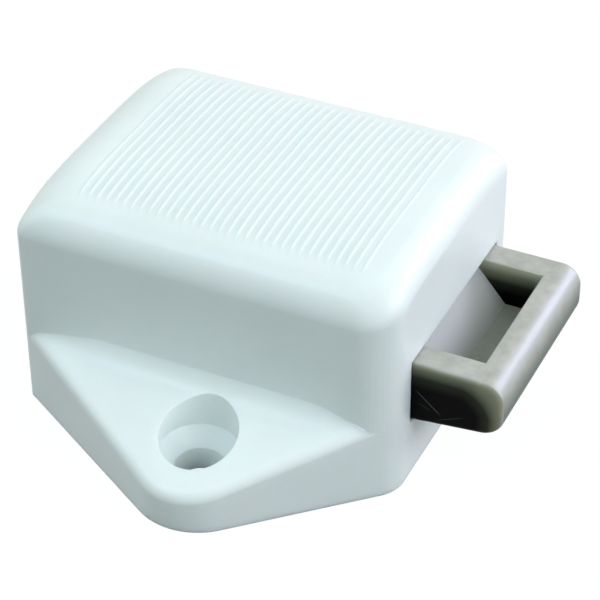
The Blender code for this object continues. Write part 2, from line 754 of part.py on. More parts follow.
def make_tongue_pin(axis):
    mesh = cross_rod_mesh(SLIDER_SIDE - FIT_GAP, 0.0)
    carry(axis, add_part("tongue_pin", mesh, STEEL))


def spring_points():
    """The coil's middle line along X, with closer turns at both ends."""
    radius = (SPRING_DIAMETER - SPRING_WIRE) / 2
    start = CAVITY_REAR + SEAT_GAP + SPRING_WIRE / 2
    length = SPRING_SEAT_X - SEAT_GAP - SPRING_WIRE / 2 - start
    active_pitch = (length - 2 * SPRING_END_PITCH) / (SPRING_TURNS - 2)
    points = []
    for index in range(SPRING_TURNS * COIL_POINTS + 1):
        turn = index / COIL_POINTS
        first = min(turn, 1.0) * SPRING_END_PITCH
        last = max(turn - (SPRING_TURNS - 1), 0.0) * SPRING_END_PITCH
        middle = min(max(turn - 1.0, 0.0), SPRING_TURNS - 2) * active_pitch
        angle = math.tau * turn
        along = start + first + middle + last
        points.append(Vector((along, radius * math.cos(angle), radius * math.sin(angle))))
    return points


def least_coil_gap(points):
    """The narrowest gap between one turn's wire and the next."""
    gaps = []
    for index, point in enumerate(points):
        later = points[index + COIL_POINTS // 2 :]
        gaps += [(point - other).length for other in later]
    return min(gaps) - SPRING_WIRE


def spring_mesh():
    points = spring_points()
    print(f"return spring: least gap between turns {least_coil_gap(points) / MM:.2f} mm")
    curve = bpy.data.curves.new("return_spring", "CURVE")
    curve.dimensions = "3D"
    curve.bevel_depth = SPRING_WIRE / 2
    curve.bevel_resolution = 1
    curve.use_fill_caps = True
    spline = curve.splines.new("POLY")
    spline.points.add(len(points) - 1)
    for point, place in zip(spline.points, points):
        point.co = (*place, 1.0)
    carrier = bpy.data.objects.new("return_spring", curve)
    CUTTERS.objects.link(carrier)
    view = bpy.context.evaluated_depsgraph_get()
    mesh = bpy.data.meshes.new_from_object(carrier.evaluated_get(view))
    bpy.data.objects.remove(carrier)
    bm = bmesh.new()
    bm.from_mesh(mesh)
    bpy.data.meshes.remove(mesh)
    bmesh.ops.remove_doubles(bm, verts=bm.verts, dist=WELD)
    return finish_mesh("return_spring", bm)


def make_return_springs():
    mesh = spring_mesh()
    for side, sign in SIDES.items():
        add_part(f"return_spring_{side}", mesh, SPRING_STEEL, place=(0.0, sign * SPRING_Y, SPRING_Z))


def make_cam_arm(axis):
    """The stamped arm that swings on the base plate and carries the follower pin."""
    rear = ARM_REAR_WIDTH / 2
    front = ARM_FRONT_WIDTH / 2
    corners = [
        (ARM_PIVOT_X - rear, -rear),
        (TRACK_START_X + front, -front),
        (TRACK_START_X + front, front),
        (ARM_PIVOT_X - rear, rear),
    ]
    radii = [end * ARM_END_ROUND for end in (rear, front, front, rear)]
    mesh = outline_mesh("cam_arm", [rounded_polygon(corners, radii)], ARM_BOTTOM, ARM_TOP)
    arm = add_part("cam_arm", mesh, ZINC_STEEL)
    holes = [
        rod_mesh(
            "hole",
            (x, 0.0, ARM_BOTTOM - OVERLAP),
            (x, 0.0, ARM_TOP + OVERLAP),
            diameter / 2 + FIT_GAP,
        )
        for x, diameter in ((ARM_PIVOT_X, RIVET_DIAMETER), (TRACK_START_X, FOLLOWER_DIAMETER))
    ]
    shape(arm, "DIFFERENCE", join_meshes("holes", holes))
    carry(axis, arm)


def make_follower_pin(axis):
    """The pin that runs in the heart track, with a flange under the arm."""
    pin = FOLLOWER_DIAMETER / 2
    flange = FOLLOWER_FLANGE / 2
    under = ARM_BOTTOM - FIT_GAP
    foot = under - FOLLOWER_FLANGE_THICKNESS
    tip = TRACK_TOP - RUN_GAP
    profile = [(0.0, tip), (pin, tip), (pin, under), (flange, under), (flange, foot), (0.0, foot)]
    mesh = turned_mesh("follower_pin", profile, place=(TRACK_START_X, 0.0, 0.0))
    carry(axis, add_part("follower_pin", mesh, STEEL))


def rivet_mesh(name, x, seat):
    """A flat-headed rivet whose head lies on what is at seat, set in the base plate."""
    shank = RIVET_DIAMETER / 2
    head = RIVET_HEAD_DIAMETER / 2
    under = seat + FIT_GAP
    top = under + RIVET_HEAD_THICKNESS
    profile = [(0.0, top), (head, top), (head, under), (shank, under), (shank, FIT_GAP), (0.0, FIT_GAP)]
    return turned_mesh(name, profile, place=(x, 0.0, 0.0))


def leaf_rear_x():
    return TRACK_START_X - LEAF_PADDLE_LENGTH / 2


def leaf_front_x():
    return leaf_rear_x() + LEAF_PADDLE_LENGTH + LEAF_STEM_LENGTH


def leaf_rivet_x():
    return leaf_front_x() - LEAF_FLAT_LENGTH / 2


def leaf_seat():
    return PLATE_THICKNESS + SEAT_GAP


def leaf_ribbon_mesh():
    """The leaf's side view: flat at its rivet, rising to a crest under the follower, then falling."""
    rear = leaf_rear_x() - OVERLAP
    front = leaf_front_x() + OVERLAP
    follower_foot = ARM_BOTTOM - FIT_GAP - FOLLOWER_FLANGE_THICKNESS
    crest = follower_foot - SEAT_GAP - LEAF_THICKNESS
    lower = [
        (front, leaf_seat()),
        (leaf_front_x() - LEAF_FLAT_LENGTH, leaf_seat()),
        (TRACK_START_X, crest),
        (rear, crest - LEAF_CURL),
    ]
    upper = [(x, z + LEAF_THICKNESS) for x, z in reversed(lower)]
    return outline_mesh("ribbon", [lower + upper], -LEAF_PADDLE_WIDTH, LEAF_PADDLE_WIDTH, upright=True)


def make_arm_spring():
    """The stamped leaf spring that keeps the follower pin up in its track."""
    stem = LEAF_STEM_WIDTH / 2
    paddle = LEAF_PADDLE_WIDTH / 2
    rear = leaf_rear_x()
    neck = rear + LEAF_PADDLE_LENGTH
    front = leaf_front_x()
    corners = [
        (rear, -paddle),
        (neck, -paddle),
        (neck, -stem),
        (front, -stem),
        (front, stem),
        (neck, stem),
        (neck, paddle),
        (rear, paddle),
    ]
    radius = LEAF_STEM_WIDTH / 4
    outline = rounded_polygon(corners, [radius] * len(corners), steps=LEAF_STEPS)
    leaf = add_part("arm_spring", leaf_ribbon_mesh(), SPRING_STEEL)
    shape(leaf, "INTERSECT", outline_mesh("blank", [outline], 0.0, ARM_TOP))
    hole_x = leaf_rivet_x()
    hole = rod_mesh("hole", (hole_x, 0, 0), (hole_x, 0, ARM_TOP), RIVET_DIAMETER / 2 + FIT_GAP)
    shape(leaf, "DIFFERENCE", hole)


def make_rivets():
    add_part("arm_rivet", rivet_mesh("arm_rivet", ARM_PIVOT_X, ARM_TOP), STEEL)
    seat = leaf_seat() + LEAF_THICKNESS
    add_part("spring_rivet", rivet_mesh("spring_rivet", leaf_rivet_x(), seat), STEEL)


clear_scene()
PARTS = new_collection("touch_latch")
CUTTERS = new_collection("touch_latch_cutters")

WHITE_PLASTIC = new_material("white_plastic", (0.80, 0.87, 0.88), 0.35)
BASE_PLASTIC = new_material("base_plastic", (0.74, 0.79, 0.80), 0.5)
ACETAL = new_material("acetal", (0.85, 0.85, 0.80), 0.45)
SATIN_ZINC = new_material("satin_zinc", (0.28, 0.26, 0.24), 0.35, 0.9)
STEEL = new_material("steel", (0.55, 0.55, 0.56), 0.3, 1.0)
ZINC_STEEL = new_material("zinc_plated_steel", (0.62, 0.63, 0.65), 0.35, 1.0)
SPRING_STEEL = new_material("spring_steel", (0.42, 0.42, 0.44), 0.3, 1.0)

SLIDE_AXIS = add_axis("tongue_slide", (CAVITY_FRONT, 0.0, TONGUE_MIDDLE))
SWING_AXIS = add_axis("cam_swing", (ARM_PIVOT_X, 0.0, ARM_BOTTOM))

make_housing()
make_base_plate()
make_base_screws()
make_tongue(SLIDE_AXIS)
make_slider(SLIDE_AXIS)
make_tongue_pin(SLIDE_AXIS)
make_return_springs()
make_cam_arm(SWING_AXIS)
make_follower_pin(SWING_AXIS)
make_arm_spring()
make_rivets()
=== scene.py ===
"""Touch latch: the looks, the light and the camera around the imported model.

The solids' sizes are repeated here in metres. The case, the tongue, the base plate, its screws and
the coil springs are remade with finer forms and rounded edges. The slider, arm, pins, rivets and leaf
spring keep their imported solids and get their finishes.
"""

import math

import bmesh
import bpy
from mathutils import Matrix, Vector


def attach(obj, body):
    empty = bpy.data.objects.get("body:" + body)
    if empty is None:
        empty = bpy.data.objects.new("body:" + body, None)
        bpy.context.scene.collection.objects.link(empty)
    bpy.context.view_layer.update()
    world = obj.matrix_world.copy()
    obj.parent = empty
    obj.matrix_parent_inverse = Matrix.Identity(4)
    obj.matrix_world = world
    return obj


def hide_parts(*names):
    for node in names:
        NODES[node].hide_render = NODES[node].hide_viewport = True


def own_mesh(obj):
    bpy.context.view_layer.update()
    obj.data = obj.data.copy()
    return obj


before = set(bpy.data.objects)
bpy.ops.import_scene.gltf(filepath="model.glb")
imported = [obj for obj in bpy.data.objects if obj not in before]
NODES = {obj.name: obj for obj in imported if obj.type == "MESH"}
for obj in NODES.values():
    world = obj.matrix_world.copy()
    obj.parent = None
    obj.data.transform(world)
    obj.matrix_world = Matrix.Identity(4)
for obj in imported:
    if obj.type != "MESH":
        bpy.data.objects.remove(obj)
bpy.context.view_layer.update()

MM = 0.001

# Case
CASE_FRONT = 20.0 * MM
CASE_REAR = -20.0 * MM
CASE_SIDE = 16.0 * MM
CASE_HEIGHT = 24.6 * MM
TOP_ROUND = 2.8 * MM
TOP_REAR_RUN = 4.8 * MM
FRONT_CORNER = 3.8 * MM
REAR_CORNER = 1.0 * MM
TOP_CROWN = 2.1 * MM
CROWN_POWER = 4
CROWN_CUTS = 22
CORNER_STEPS = 14
ROUND_STEPS = 20

# Grip ribs
RIB_COUNT = 33
RIB_SPAN = 29.9 * MM
RIB_PITCH = RIB_SPAN / (RIB_COUNT - 1)
RIB_FIRST_X = -14.6 * MM
RIB_LENGTH = 24.6 * MM
RIB_WIDTH = 0.52 * MM
RIB_HEIGHT = 0.08 * MM
RIB_STEPS = 8
RIB_END_RUN = 1.1 * MM
RIB_END_STEPS = 3

# Screw ears
HOLE_X = 2.3 * MM
HOLE_Y = 20.95 * MM
EAR_TIP_RADIUS = 6.85 * MM
EAR_HEIGHT = 8.5 * MM
EAR_SLOPE = math.tan(math.radians(20.0))
EAR_RIM_ROUND = 1.0 * MM
EAR_RIM_STEPS = 8
EAR_FILLET = 2.4 * MM
EAR_FILLET_LEAN = math.radians(70.0)
EAR_FILLET_CUTS = 8
EAR_LENGTH_CUTS = 24
TIP_STEPS = 40
HOLE_RADIUS = 2.5 * MM
RECESS_RADIUS = 3.9 * MM
RECESS_FLOOR = 4.5 * MM
COUNTERSINK_DEPTH = 1.9 * MM
RECESS_RIM_ROUND = 0.25 * MM
BORE_STEPS = 72

# Inside of the case
CAVITY_FRONT = 17.5 * MM
CAVITY_REAR = -17.8 * MM
CAVITY_SIDE = 13.7 * MM
CAVITY_TOP = 21.5 * MM
SLIDER_SIDE = 8.5 * MM
GUIDE_TOP = 17.5 * MM
GUIDE_HEIGHT = 1.8 * MM
SPIGOT_RADIUS = 1.4 * MM
SPIGOT_LENGTH = 4.5 * MM
BOSS_RADIUS = 2.7 * MM
BOSS_Y = 11.5 * MM
MOUTH_ROUND = 0.1 * MM
MOUTH_GAP = 0.15 * MM

# Base plate
PLATE_THICKNESS = 2.0 * MM
PLATE_SEAT = 2.3 * MM
PLATE_LEDGE = 0.9 * MM
PLATE_CORNER = 2.0 * MM
PLATE_EDGE_ROUND = 0.25 * MM
PLATE_RAIL = (6.7 * MM, 8.1 * MM)
PLATE_RAIL_MARGIN = 2.0 * MM
PLATE_RAIL_TOP = 5.3 * MM
ARM_BOSS_RADIUS = 2.4 * MM
ARM_BOSS_TOP = 3.5 * MM
RIVET_X = (-14.2 * MM, 6.7 * MM)
RIVET_RADIUS = 1.0 * MM

# Base screws
SCREW_X = (-13.4 * MM, 13.1 * MM)
SCREW_ENDS = ("rear_left", "rear_right", "front_left", "front_right")
SCREW_TURNS = (0.3, 1.1, 0.75, 0.05)
SCREW_RADIUS = 1.0 * MM
SCREW_HEAD_RADIUS = 1.9 * MM
SCREW_HEAD_ROUND = 0.12 * MM
SCREW_SINK = 0.25 * MM
SCREW_TIP = 5.3 * MM
SCREW_POINT = 0.5 * MM
CROSS_LENGTH = 2.3 * MM
CROSS_WIDTH = 0.6 * MM
CROSS_DEPTH = 0.9 * MM
CROSS_TAPER = 0.5

# Return springs
SPRING_REAR = -17.5 * MM
SPRING_FRONT = 7.4 * MM
SPRING_Y = 4.3 * MM
SPRING_Z = 16.6 * MM
SPRING_RADIUS = 2.35 * MM
SPRING_WIRE = 0.7 * MM
SPRING_TURNS = 12
SPRING_END_PITCH = 1.2 * MM
COIL_STEPS = 30
WIRE_SIDES = 12

# Tongue
TONGUE_SIDE = 10.8 * MM
TONGUE_TOP = 13.7 * MM
TONGUE_BOTTOM = 6.7 * MM
TONGUE_NOSE = 29.3 * MM
TONGUE_RISE = 1.0 * MM
NOSE_ROUND = 2.2 * MM
NOSE_BAR = 3.15 * MM
POCKET_RAIL = 3.1 * MM
POCKET_FLOOR = 8.9 * MM
POCKET_FLOOR_LENGTH = 3.75 * MM
POCKET_RAMP_LENGTH = 4.0 * MM
TENON_LENGTH = 8.0 * MM
TENON_WIDTH = 12.0 * MM
TENON_HEIGHT = 5.0 * MM
PIN_RADIUS = 1.2 * MM
TONGUE_EDGE_ROUND = 0.55 * MM
POCKET_RIM_ROUND = 0.2 * MM

# Clearances and finishing
RUN_GAP = 0.3 * MM
FIT_GAP = 0.15 * MM
OVERLAP = 0.5 * MM
WELD = 0.001 * MM
NEAR = 0.05 * MM
RIM_STEPS = 4
SHARP_ANGLE = math.radians(35.0)
ROUND_PROFILE = 0.5
EVEN_WEIGHT = 80
SIDES = (1, -1)

# Centres of the right-hand ear's tip and of the case's corners on both sides of it
TIP = Vector((HOLE_X, -HOLE_Y))
REAR_CENTRE = Vector((CASE_REAR + REAR_CORNER, -CASE_SIDE + REAR_CORNER))
FRONT_CENTRE = Vector((CASE_FRONT - FRONT_CORNER, -CASE_SIDE + FRONT_CORNER))


def placed(name, data):
    """An object in the scene for a mesh, a lamp or a camera."""
    item = bpy.data.objects.new(name, data)
    bpy.context.scene.collection.objects.link(item)
    return item


def as_mesh(name, bm):
    """Closes a bmesh off as a mesh that faces outwards."""
    bmesh.ops.remove_doubles(bm, verts=bm.verts, dist=WELD)
    bmesh.ops.recalc_face_normals(bm, faces=bm.faces)
    mesh = bpy.data.meshes.new(name)
    bm.to_mesh(mesh)
    bm.free()
    return mesh


def combined(mesh, steps):
    """A mesh after a row of Boolean steps, each an operation and the mesh it uses."""
    base = placed(mesh.name, mesh)
    tools = []
    for operation, tool_mesh in steps:
        tool = placed(tool_mesh.name, tool_mesh)
        step = base.modifiers.new(tool_mesh.name, "BOOLEAN")
        step.operation = operation
        step.solver = "EXACT"
        step.object = tool
        tools.append(tool)
    view = bpy.context.evaluated_depsgraph_get()
    made = bpy.data.meshes.new_from_object(base.evaluated_get(view))
    for item in [base, *tools]:
        bpy.data.objects.remove(item)
    return made


def add_piece(name, mesh, finish, slot, body, *nodes):
    """A finished piece that stands for the named nodes and moves with a body."""
    mesh.name = name
    mesh.materials.clear()
    mesh.materials.append(finish)
    mesh.shade_smooth()
    mesh.set_sharp_from_angle(angle=SHARP_ANGLE)
    piece = placed(name, mesh)
    even = piece.modifiers.new("even_shading", "WEIGHTED_NORMAL")
    even.keep_sharp = True
    even.weight = EVEN_WEIGHT
    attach(piece, body)
    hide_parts(*nodes)
    return piece


def rounded_off(bm, corners, radius, steps, affect="EDGES"):
    """Rounds edges, or the corners of a flat outline, off to a radius."""
    bmesh.ops.bevel(
        bm,
        geom=corners,
        offset=radius,
        segments=steps,
        profile=ROUND_PROFILE,
        affect=affect,
        clamp_overlap=True,
        material=-1,
    )


def softened(mesh, radius, steps, chosen):
    """Rounds off the sharp edges of a mesh that the chosen test accepts."""
    bm = bmesh.new()
    bm.from_mesh(mesh)
    sharp = [edge for edge in bm.edges if edge.is_manifold and edge.calc_face_angle() > SHARP_ANGLE]
    rounded_off(bm, [edge for edge in sharp if chosen(edge)], radius, steps)
    bm.to_mesh(mesh)
    bm.free()


def box(name, low, high):
    """A plain block between two corners, to cut with or to join on."""
    bm = bmesh.new()
    bmesh.ops.create_cube(bm, size=1.0)
    bmesh.ops.scale(bm, vec=Vector(high) - Vector(low), verts=bm.verts)
    bmesh.ops.translate(bm, vec=(Vector(high) + Vector(low)) / 2, verts=bm.verts)
    return as_mesh(name, bm)


def rod(name, start, end, radius):
    """A round bar between two points."""
    axis = Vector(end) - Vector(start)
    turn = axis.to_track_quat("Z", "Y").to_matrix().to_4x4()
    place = Matrix.Translation((Vector(start) + Vector(end)) / 2) @ turn
    bm = bmesh.new()
    bmesh.ops.create_cone(
        bm,
        cap_ends=True,
        segments=BORE_STEPS,
        radius1=radius,
        radius2=radius,
        depth=axis.length,
        matrix=place,
    )
    return as_mesh(name, bm)


def turned(name, profile, place):
    """A solid spun about an upright axis from radius and height pairs."""
    bm = bmesh.new()
    line = [bm.verts.new((radius, 0.0, height)) for radius, height in profile]
    edges = [bm.edges.new(pair) for pair in zip(line, line[1:])]
    bmesh.ops.spin(
        bm,
        geom=line + edges,
        cent=(0, 0, 0),
        axis=(0, 0, 1),
        angle=math.tau,
        steps=BORE_STEPS,
        use_merge=True,
    )
    bmesh.ops.translate(bm, vec=place, verts=bm.verts)
    return as_mesh(name, bm)


def joined(name, meshes):
    """Several meshes as one."""
    bm = bmesh.new()
    for mesh in meshes:
        bm.from_mesh(mesh)
        bpy.data.meshes.remove(mesh)
    return as_mesh(name, bm)


def only(kind, geometry):
    """The vertices, edges or faces among an operator's results."""
    return [item for item in geometry if isinstance(item, kind)]


def spun_arc(bm, centre, start, sweep, steps):
    """The vertices, in order, of an arc of edges spun from one vertex about an upright line."""
    before = len(bm.verts)
    seed = bm.verts.new(start)
    bmesh.ops.spin(bm, geom=[seed], cent=centre, axis=(0, 0, 1), angle=sweep, steps=steps)
    bm.verts.ensure_lookup_table()
    return list(bm.verts)[before:]


def closed_ring(bm, arcs):
    """Joins rows of vertices into one closed ring of edges."""
    verts = [vert for arc in arcs for vert in arc]
    pairs = zip(verts, verts[1:] + verts[:1])
    return [bm.edges.get(pair) or bm.edges.new(pair) for pair in pairs]


def rounded_rectangle(bm, front, rear, side, front_corner, rear_corner, height):
    """A ring with arcs at its corners, drawn anticlockwise from the front right corner."""
    corners = (
        (front - front_corner, -side + front_corner, front_corner, -math.pi / 2),
        (front - front_corner, side - front_corner, front_corner, 0.0),
        (rear + rear_corner, side - rear_corner, rear_corner, math.pi / 2),
        (rear + rear_corner, -side + rear_corner, rear_corner, math.pi),
    )
    arcs = []
    for x, y, radius, angle in corners:
        start = (x + radius * math.cos(angle), y + radius * math.sin(angle), height)
        arcs.append(spun_arc(bm, (x, y, height), start, math.pi / 2, CORNER_STEPS))
    return closed_ring(bm, arcs)


def lifted(bm, ring, rise, inset=(0.0, 0.0, 0.0)):
    """Extrudes a ring of edges upwards and draws it in at its rear, front and sides."""
    grown = bmesh.ops.extrude_edge_only(bm, edges=ring)["geom"]
    rear, front, side = inset
    for vert in only(bmesh.types.BMVert, grown):
        along = rear if vert.co.x < 0 else -front
        across = math.copysign(side, -vert.co.y)
        bmesh.ops.translate(bm, vec=(along, across, rise), verts=[vert])
    return only(bmesh.types.BMEdge, grown)


def top_inset(rise):
    """How far the rounded top edge is drawn in over the walls: at the rear, front and sides."""
    share = 1 - math.sqrt(max(1 - (rise / TOP_ROUND) ** 2, 0.0))
    return Vector((TOP_REAR_RUN * share, TOP_ROUND * share, TOP_ROUND * share))


def crown_drop(y):
    """How far the crowned top lies below its middle line."""
    return TOP_CROWN * (abs(y) / CASE_SIDE) ** CROWN_POWER


def whole(bm):
    """All of a bmesh, as the operators take it."""
    return [*bm.verts, *bm.edges, *bm.faces]


def slice_at_y(bm, y):
    """Divides a mesh in two planes along X, one on each side of its middle."""
    for sign in SIDES:
        bmesh.ops.bisect_plane(bm, geom=whole(bm), plane_co=(0.0, sign * y, 0.0), plane_no=(0, 1, 0))


def slice_at_x(bm, x):
    """Divides a mesh in a plane across X."""
    bmesh.ops.bisect_plane(bm, geom=whole(bm), plane_co=(x, 0.0, 0.0), plane_no=(1, 0, 0))


def top_faces(bm):
    """The faces of the top's flat, before it is crowned."""
    return [face for face in bm.faces if face.calc_center_median().z > CASE_HEIGHT - WELD]


def rib_rise(x, y):
    """Height of the rounded grip ribs over the flat of the top."""
    nearest = min(max(round((x - RIB_FIRST_X) / RIB_PITCH), 0), RIB_COUNT - 1)
    offset = abs(x - RIB_FIRST_X - nearest * RIB_PITCH) / RIB_WIDTH
    fade = min(max((RIB_LENGTH / 2 - abs(y)) / RIB_END_RUN, 0.0), 1.0)
    if offset > 0.5:
        return 0.0
    return RIB_HEIGHT * (1 + math.cos(math.tau * offset)) / 2 * fade * (2 - fade)


def draw_ribs(bm):
    """Divides the top's flat along each grip rib, from the rear, and raises the ribs out of it."""
    for step in range(RIB_END_STEPS + 1):
        slice_at_y(bm, RIB_LENGTH / 2 - RIB_END_RUN * step / RIB_END_STEPS)
    ahead = top_faces(bm)
    for index in range(RIB_COUNT):
        for step in range(RIB_STEPS + 1):
            x = RIB_FIRST_X + index * RIB_PITCH + RIB_WIDTH * (step / RIB_STEPS - 0.5)
            parts = dict.fromkeys(item for face in ahead for item in (face, *face.edges, *face.verts))
            cut = bmesh.ops.bisect_plane(bm, geom=list(parts), plane_co=(x, 0, 0), plane_no=(1, 0, 0))
            faces = only(bmesh.types.BMFace, cut["geom"])
            ahead = [face for face in faces if face.calc_center_median().x > x]
    for vert in bm.verts:
        if vert.co.z > CASE_HEIGHT - WELD:
            vert.co.z += rib_rise(vert.co.x, vert.co.y)


def case_solid():
    """The moulded block: upright walls, a rounded top edge and a top that is crowned across."""
    bm = bmesh.new()
    ring = rounded_rectangle(bm, CASE_FRONT, CASE_REAR, CASE_SIDE, FRONT_CORNER, REAR_CORNER, 0.0)
    bmesh.ops.contextual_create(bm, geom=ring)
    ring = lifted(bm, ring, CASE_HEIGHT - TOP_ROUND)
    rises = [TOP_ROUND * math.sin(math.pi / 2 * step / ROUND_STEPS) for step in range(ROUND_STEPS + 1)]
    for lower, upper in zip(rises, rises[1:]):
        ring = lifted(bm, ring, upper - lower, top_inset(upper) - top_inset(lower))
    bmesh.ops.contextual_create(bm, geom=ring)
    for cut in range(1, CROWN_CUTS):
        slice_at_y(bm, CASE_SIDE * math.sqrt(cut / CROWN_CUTS))
    draw_ribs(bm)
    for vert in bm.verts:
        if vert.co.z > CASE_HEIGHT - TOP_ROUND - WELD:
            vert.co.z -= crown_drop(vert.co.y)
    return as_mesh("case", bm)


def outer_tangent(centre, radius, other_centre, other_radius):
    """The line that touches two circles on their right-hand side, as its two ends."""
    gap = other_centre - centre
    along = (radius - other_radius) / gap.length
    across = -math.sqrt(1 - along * along)
    direction = gap.normalized()
    normal = along * direction + across * Vector((-direction.y, direction.x))
    return centre + radius * normal, other_centre + other_radius * normal


def ear_lines(inset):
    """Both straight sides of the right-hand ear, drawn in by inset."""
    tip_radius = EAR_TIP_RADIUS - inset
    rear = outer_tangent(REAR_CENTRE, REAR_CORNER - inset, TIP, tip_radius)
    front = outer_tangent(TIP, tip_radius, FRONT_CENTRE, FRONT_CORNER - inset)
    return rear, front


def ear_ring(bm, inset, height):
    """The right-hand ear's outline: an arc about the screw hole between two tangent lines."""
    (rear_end, first), (last, front_end) = ear_lines(inset)
    sweep = (last - TIP).angle_signed(first - TIP)
    arc = spun_arc(bm, (*TIP, height), (*first, height), sweep, TIP_STEPS)
    tail = [bm.verts.new((*point, height)) for point in (front_end, FRONT_CENTRE, REAR_CENTRE, rear_end)]
    return closed_ring(bm, [arc, tail])


def ear_reach(x):
    """How far the right-hand ear stands out from the case at x."""
    (rear_end, first), (last, front_end) = ear_lines(0.0)
    if first.x < x < last.x:
        return HOLE_Y + math.sqrt(EAR_TIP_RADIUS**2 - (x - HOLE_X) ** 2) - CASE_SIDE
    start, end = (rear_end, first) if x <= first.x else (front_end, last)
    share = (x - start.x) / (end.x - start.x)
    return max(-(start.y + share * (end.y - start.y)) - CASE_SIDE, 0.0)


def fillet_rise(x, distance):
    """How far the hollow fillet at the wall stands over the ear's top."""
    radius = min(EAR_FILLET, ear_reach(x) / 2)
    if radius < WELD:
        return 0.0
    from_foot = radius * (1 - math.sin(EAR_FILLET_LEAN)) + max(distance, 0.0)
    if from_foot >= radius:
        return 0.0
    return radius - math.sqrt(radius**2 - (radius - from_foot) ** 2)


def ear_solids():
    """Both screw ears: a rounded rim, a top that falls away, and a hollow fillet at the wall."""
    bm = bmesh.new()
    rings = [ear_ring(bm, 0.0, 0.0)]
    for step in range(EAR_RIM_STEPS + 1):
        angle = math.pi / 2 * step / EAR_RIM_STEPS
        height = EAR_HEIGHT - EAR_RIM_ROUND * (1 - math.sin(angle))
        rings.append(ear_ring(bm, EAR_RIM_ROUND * (1 - math.cos(angle)), height))
    for lower, upper in zip(rings, rings[1:]):
        bmesh.ops.bridge_loops(bm, edges=lower + upper)
    for ring in (rings[0], rings[-1]):
        bmesh.ops.contextual_create(bm, geom=ring)
    for cut in range(EAR_FILLET_CUTS + 1):
        slice_at_y(bm, CASE_SIDE + EAR_FILLET * (cut / EAR_FILLET_CUTS) ** 2)
    for cut in range(1, EAR_LENGTH_CUTS):
        slice_at_x(bm, CASE_REAR + (CASE_FRONT - CASE_REAR) * cut / EAR_LENGTH_CUTS)
    for vert in bm.verts:
        if vert.co.z > WELD:
            distance = abs(vert.co.y) - CASE_SIDE
            vert.co.z += fillet_rise(vert.co.x, distance) - EAR_SLOPE * distance
    copy = bmesh.ops.duplicate(bm, geom=whole(bm))["geom"]
    bmesh.ops.scale(bm, vec=(1, -1, 1), verts=only(bmesh.types.BMVert, copy))
    return as_mesh("ears", bm)


def ear_hole(sign):
    """A screw hole with a countersink at the foot of a round recess."""
    above = EAR_HEIGHT + OVERLAP
    profile = (
        (0.0, above),
        (RECESS_RADIUS, above),
        (RECESS_RADIUS, RECESS_FLOOR),
        (HOLE_RADIUS, RECESS_FLOOR - COUNTERSINK_DEPTH),
        (HOLE_RADIUS, -OVERLAP),
        (0.0, -OVERLAP),
    )
    return turned("hole", profile, (HOLE_X, sign * HOLE_Y, 0.0))


def screw_places():
    """Where the base screws stand, in the order of their names."""
    return [(x, sign * BOSS_Y) for x in SCREW_X for sign in SIDES]


def pilot_hole(x, y):
    """A base screw's hole in its boss."""
    return rod("pilot", (x, y, 0.0), (x, y, SCREW_TIP + RUN_GAP), SCREW_RADIUS + FIT_GAP)


def case_fittings():
    """The slider's guides, the spring pegs and the screw bosses on the inside of the case."""
    made = []
    for sign in SIDES:
        low, high = sorted((sign * (SLIDER_SIDE + RUN_GAP), sign * (CAVITY_SIDE + OVERLAP)))
        corner = (CAVITY_REAR - OVERLAP, low, GUIDE_TOP - GUIDE_HEIGHT)
        made.append(box("guide", corner, (CAVITY_FRONT + OVERLAP, high, GUIDE_TOP)))
        start = (CAVITY_REAR - OVERLAP, sign * SPRING_Y, SPRING_Z)
        end = (CAVITY_REAR + SPIGOT_LENGTH, sign * SPRING_Y, SPRING_Z)
        made.append(rod("spigot", start, end, SPIGOT_RADIUS))
    foot = PLATE_SEAT - OVERLAP
    top = TONGUE_BOTTOM - 2 * RUN_GAP
    for x, y in screw_places():
        made.append(rod("boss", (x, y, foot), (x, y, top), BOSS_RADIUS))
    return joined("fittings", made)


def plate_block(name, gap, low, high):
    """The base plate's rounded outline given a thickness."""
    bm = bmesh.new()
    front = CAVITY_FRONT + PLATE_LEDGE - gap
    rear = CAVITY_REAR - PLATE_LEDGE + gap
    side = CAVITY_SIDE + PLATE_LEDGE - gap
    ring = rounded_rectangle(bm, front, rear, side, PLATE_CORNER, PLATE_CORNER, low)
    bmesh.ops.contextual_create(bm, geom=ring)
    ring = lifted(bm, ring, high - low)
    bmesh.ops.contextual_create(bm, geom=ring)
    return as_mesh(name, bm)


def on_recess_rim(edge):
    """Whether an edge lies where a screw recess breaks through its ear's top."""
    for vert in edge.verts:
        reach = math.hypot(vert.co.x - HOLE_X, abs(vert.co.y) - HOLE_Y)
        if abs(reach - RECESS_RADIUS) > NEAR or vert.co.z < RECESS_FLOOR + NEAR:
            return False
    return True


def on_mouth_rim(edge):
    """Whether an edge lies where the tongue's mouth breaks through the front wall."""
    reach = TONGUE_SIDE + 2 * RUN_GAP
    return all(
        abs(vert.co.x - CASE_FRONT) < NEAR and abs(vert.co.y) < reach and vert.co.z > NEAR
        for vert in edge.verts
    )


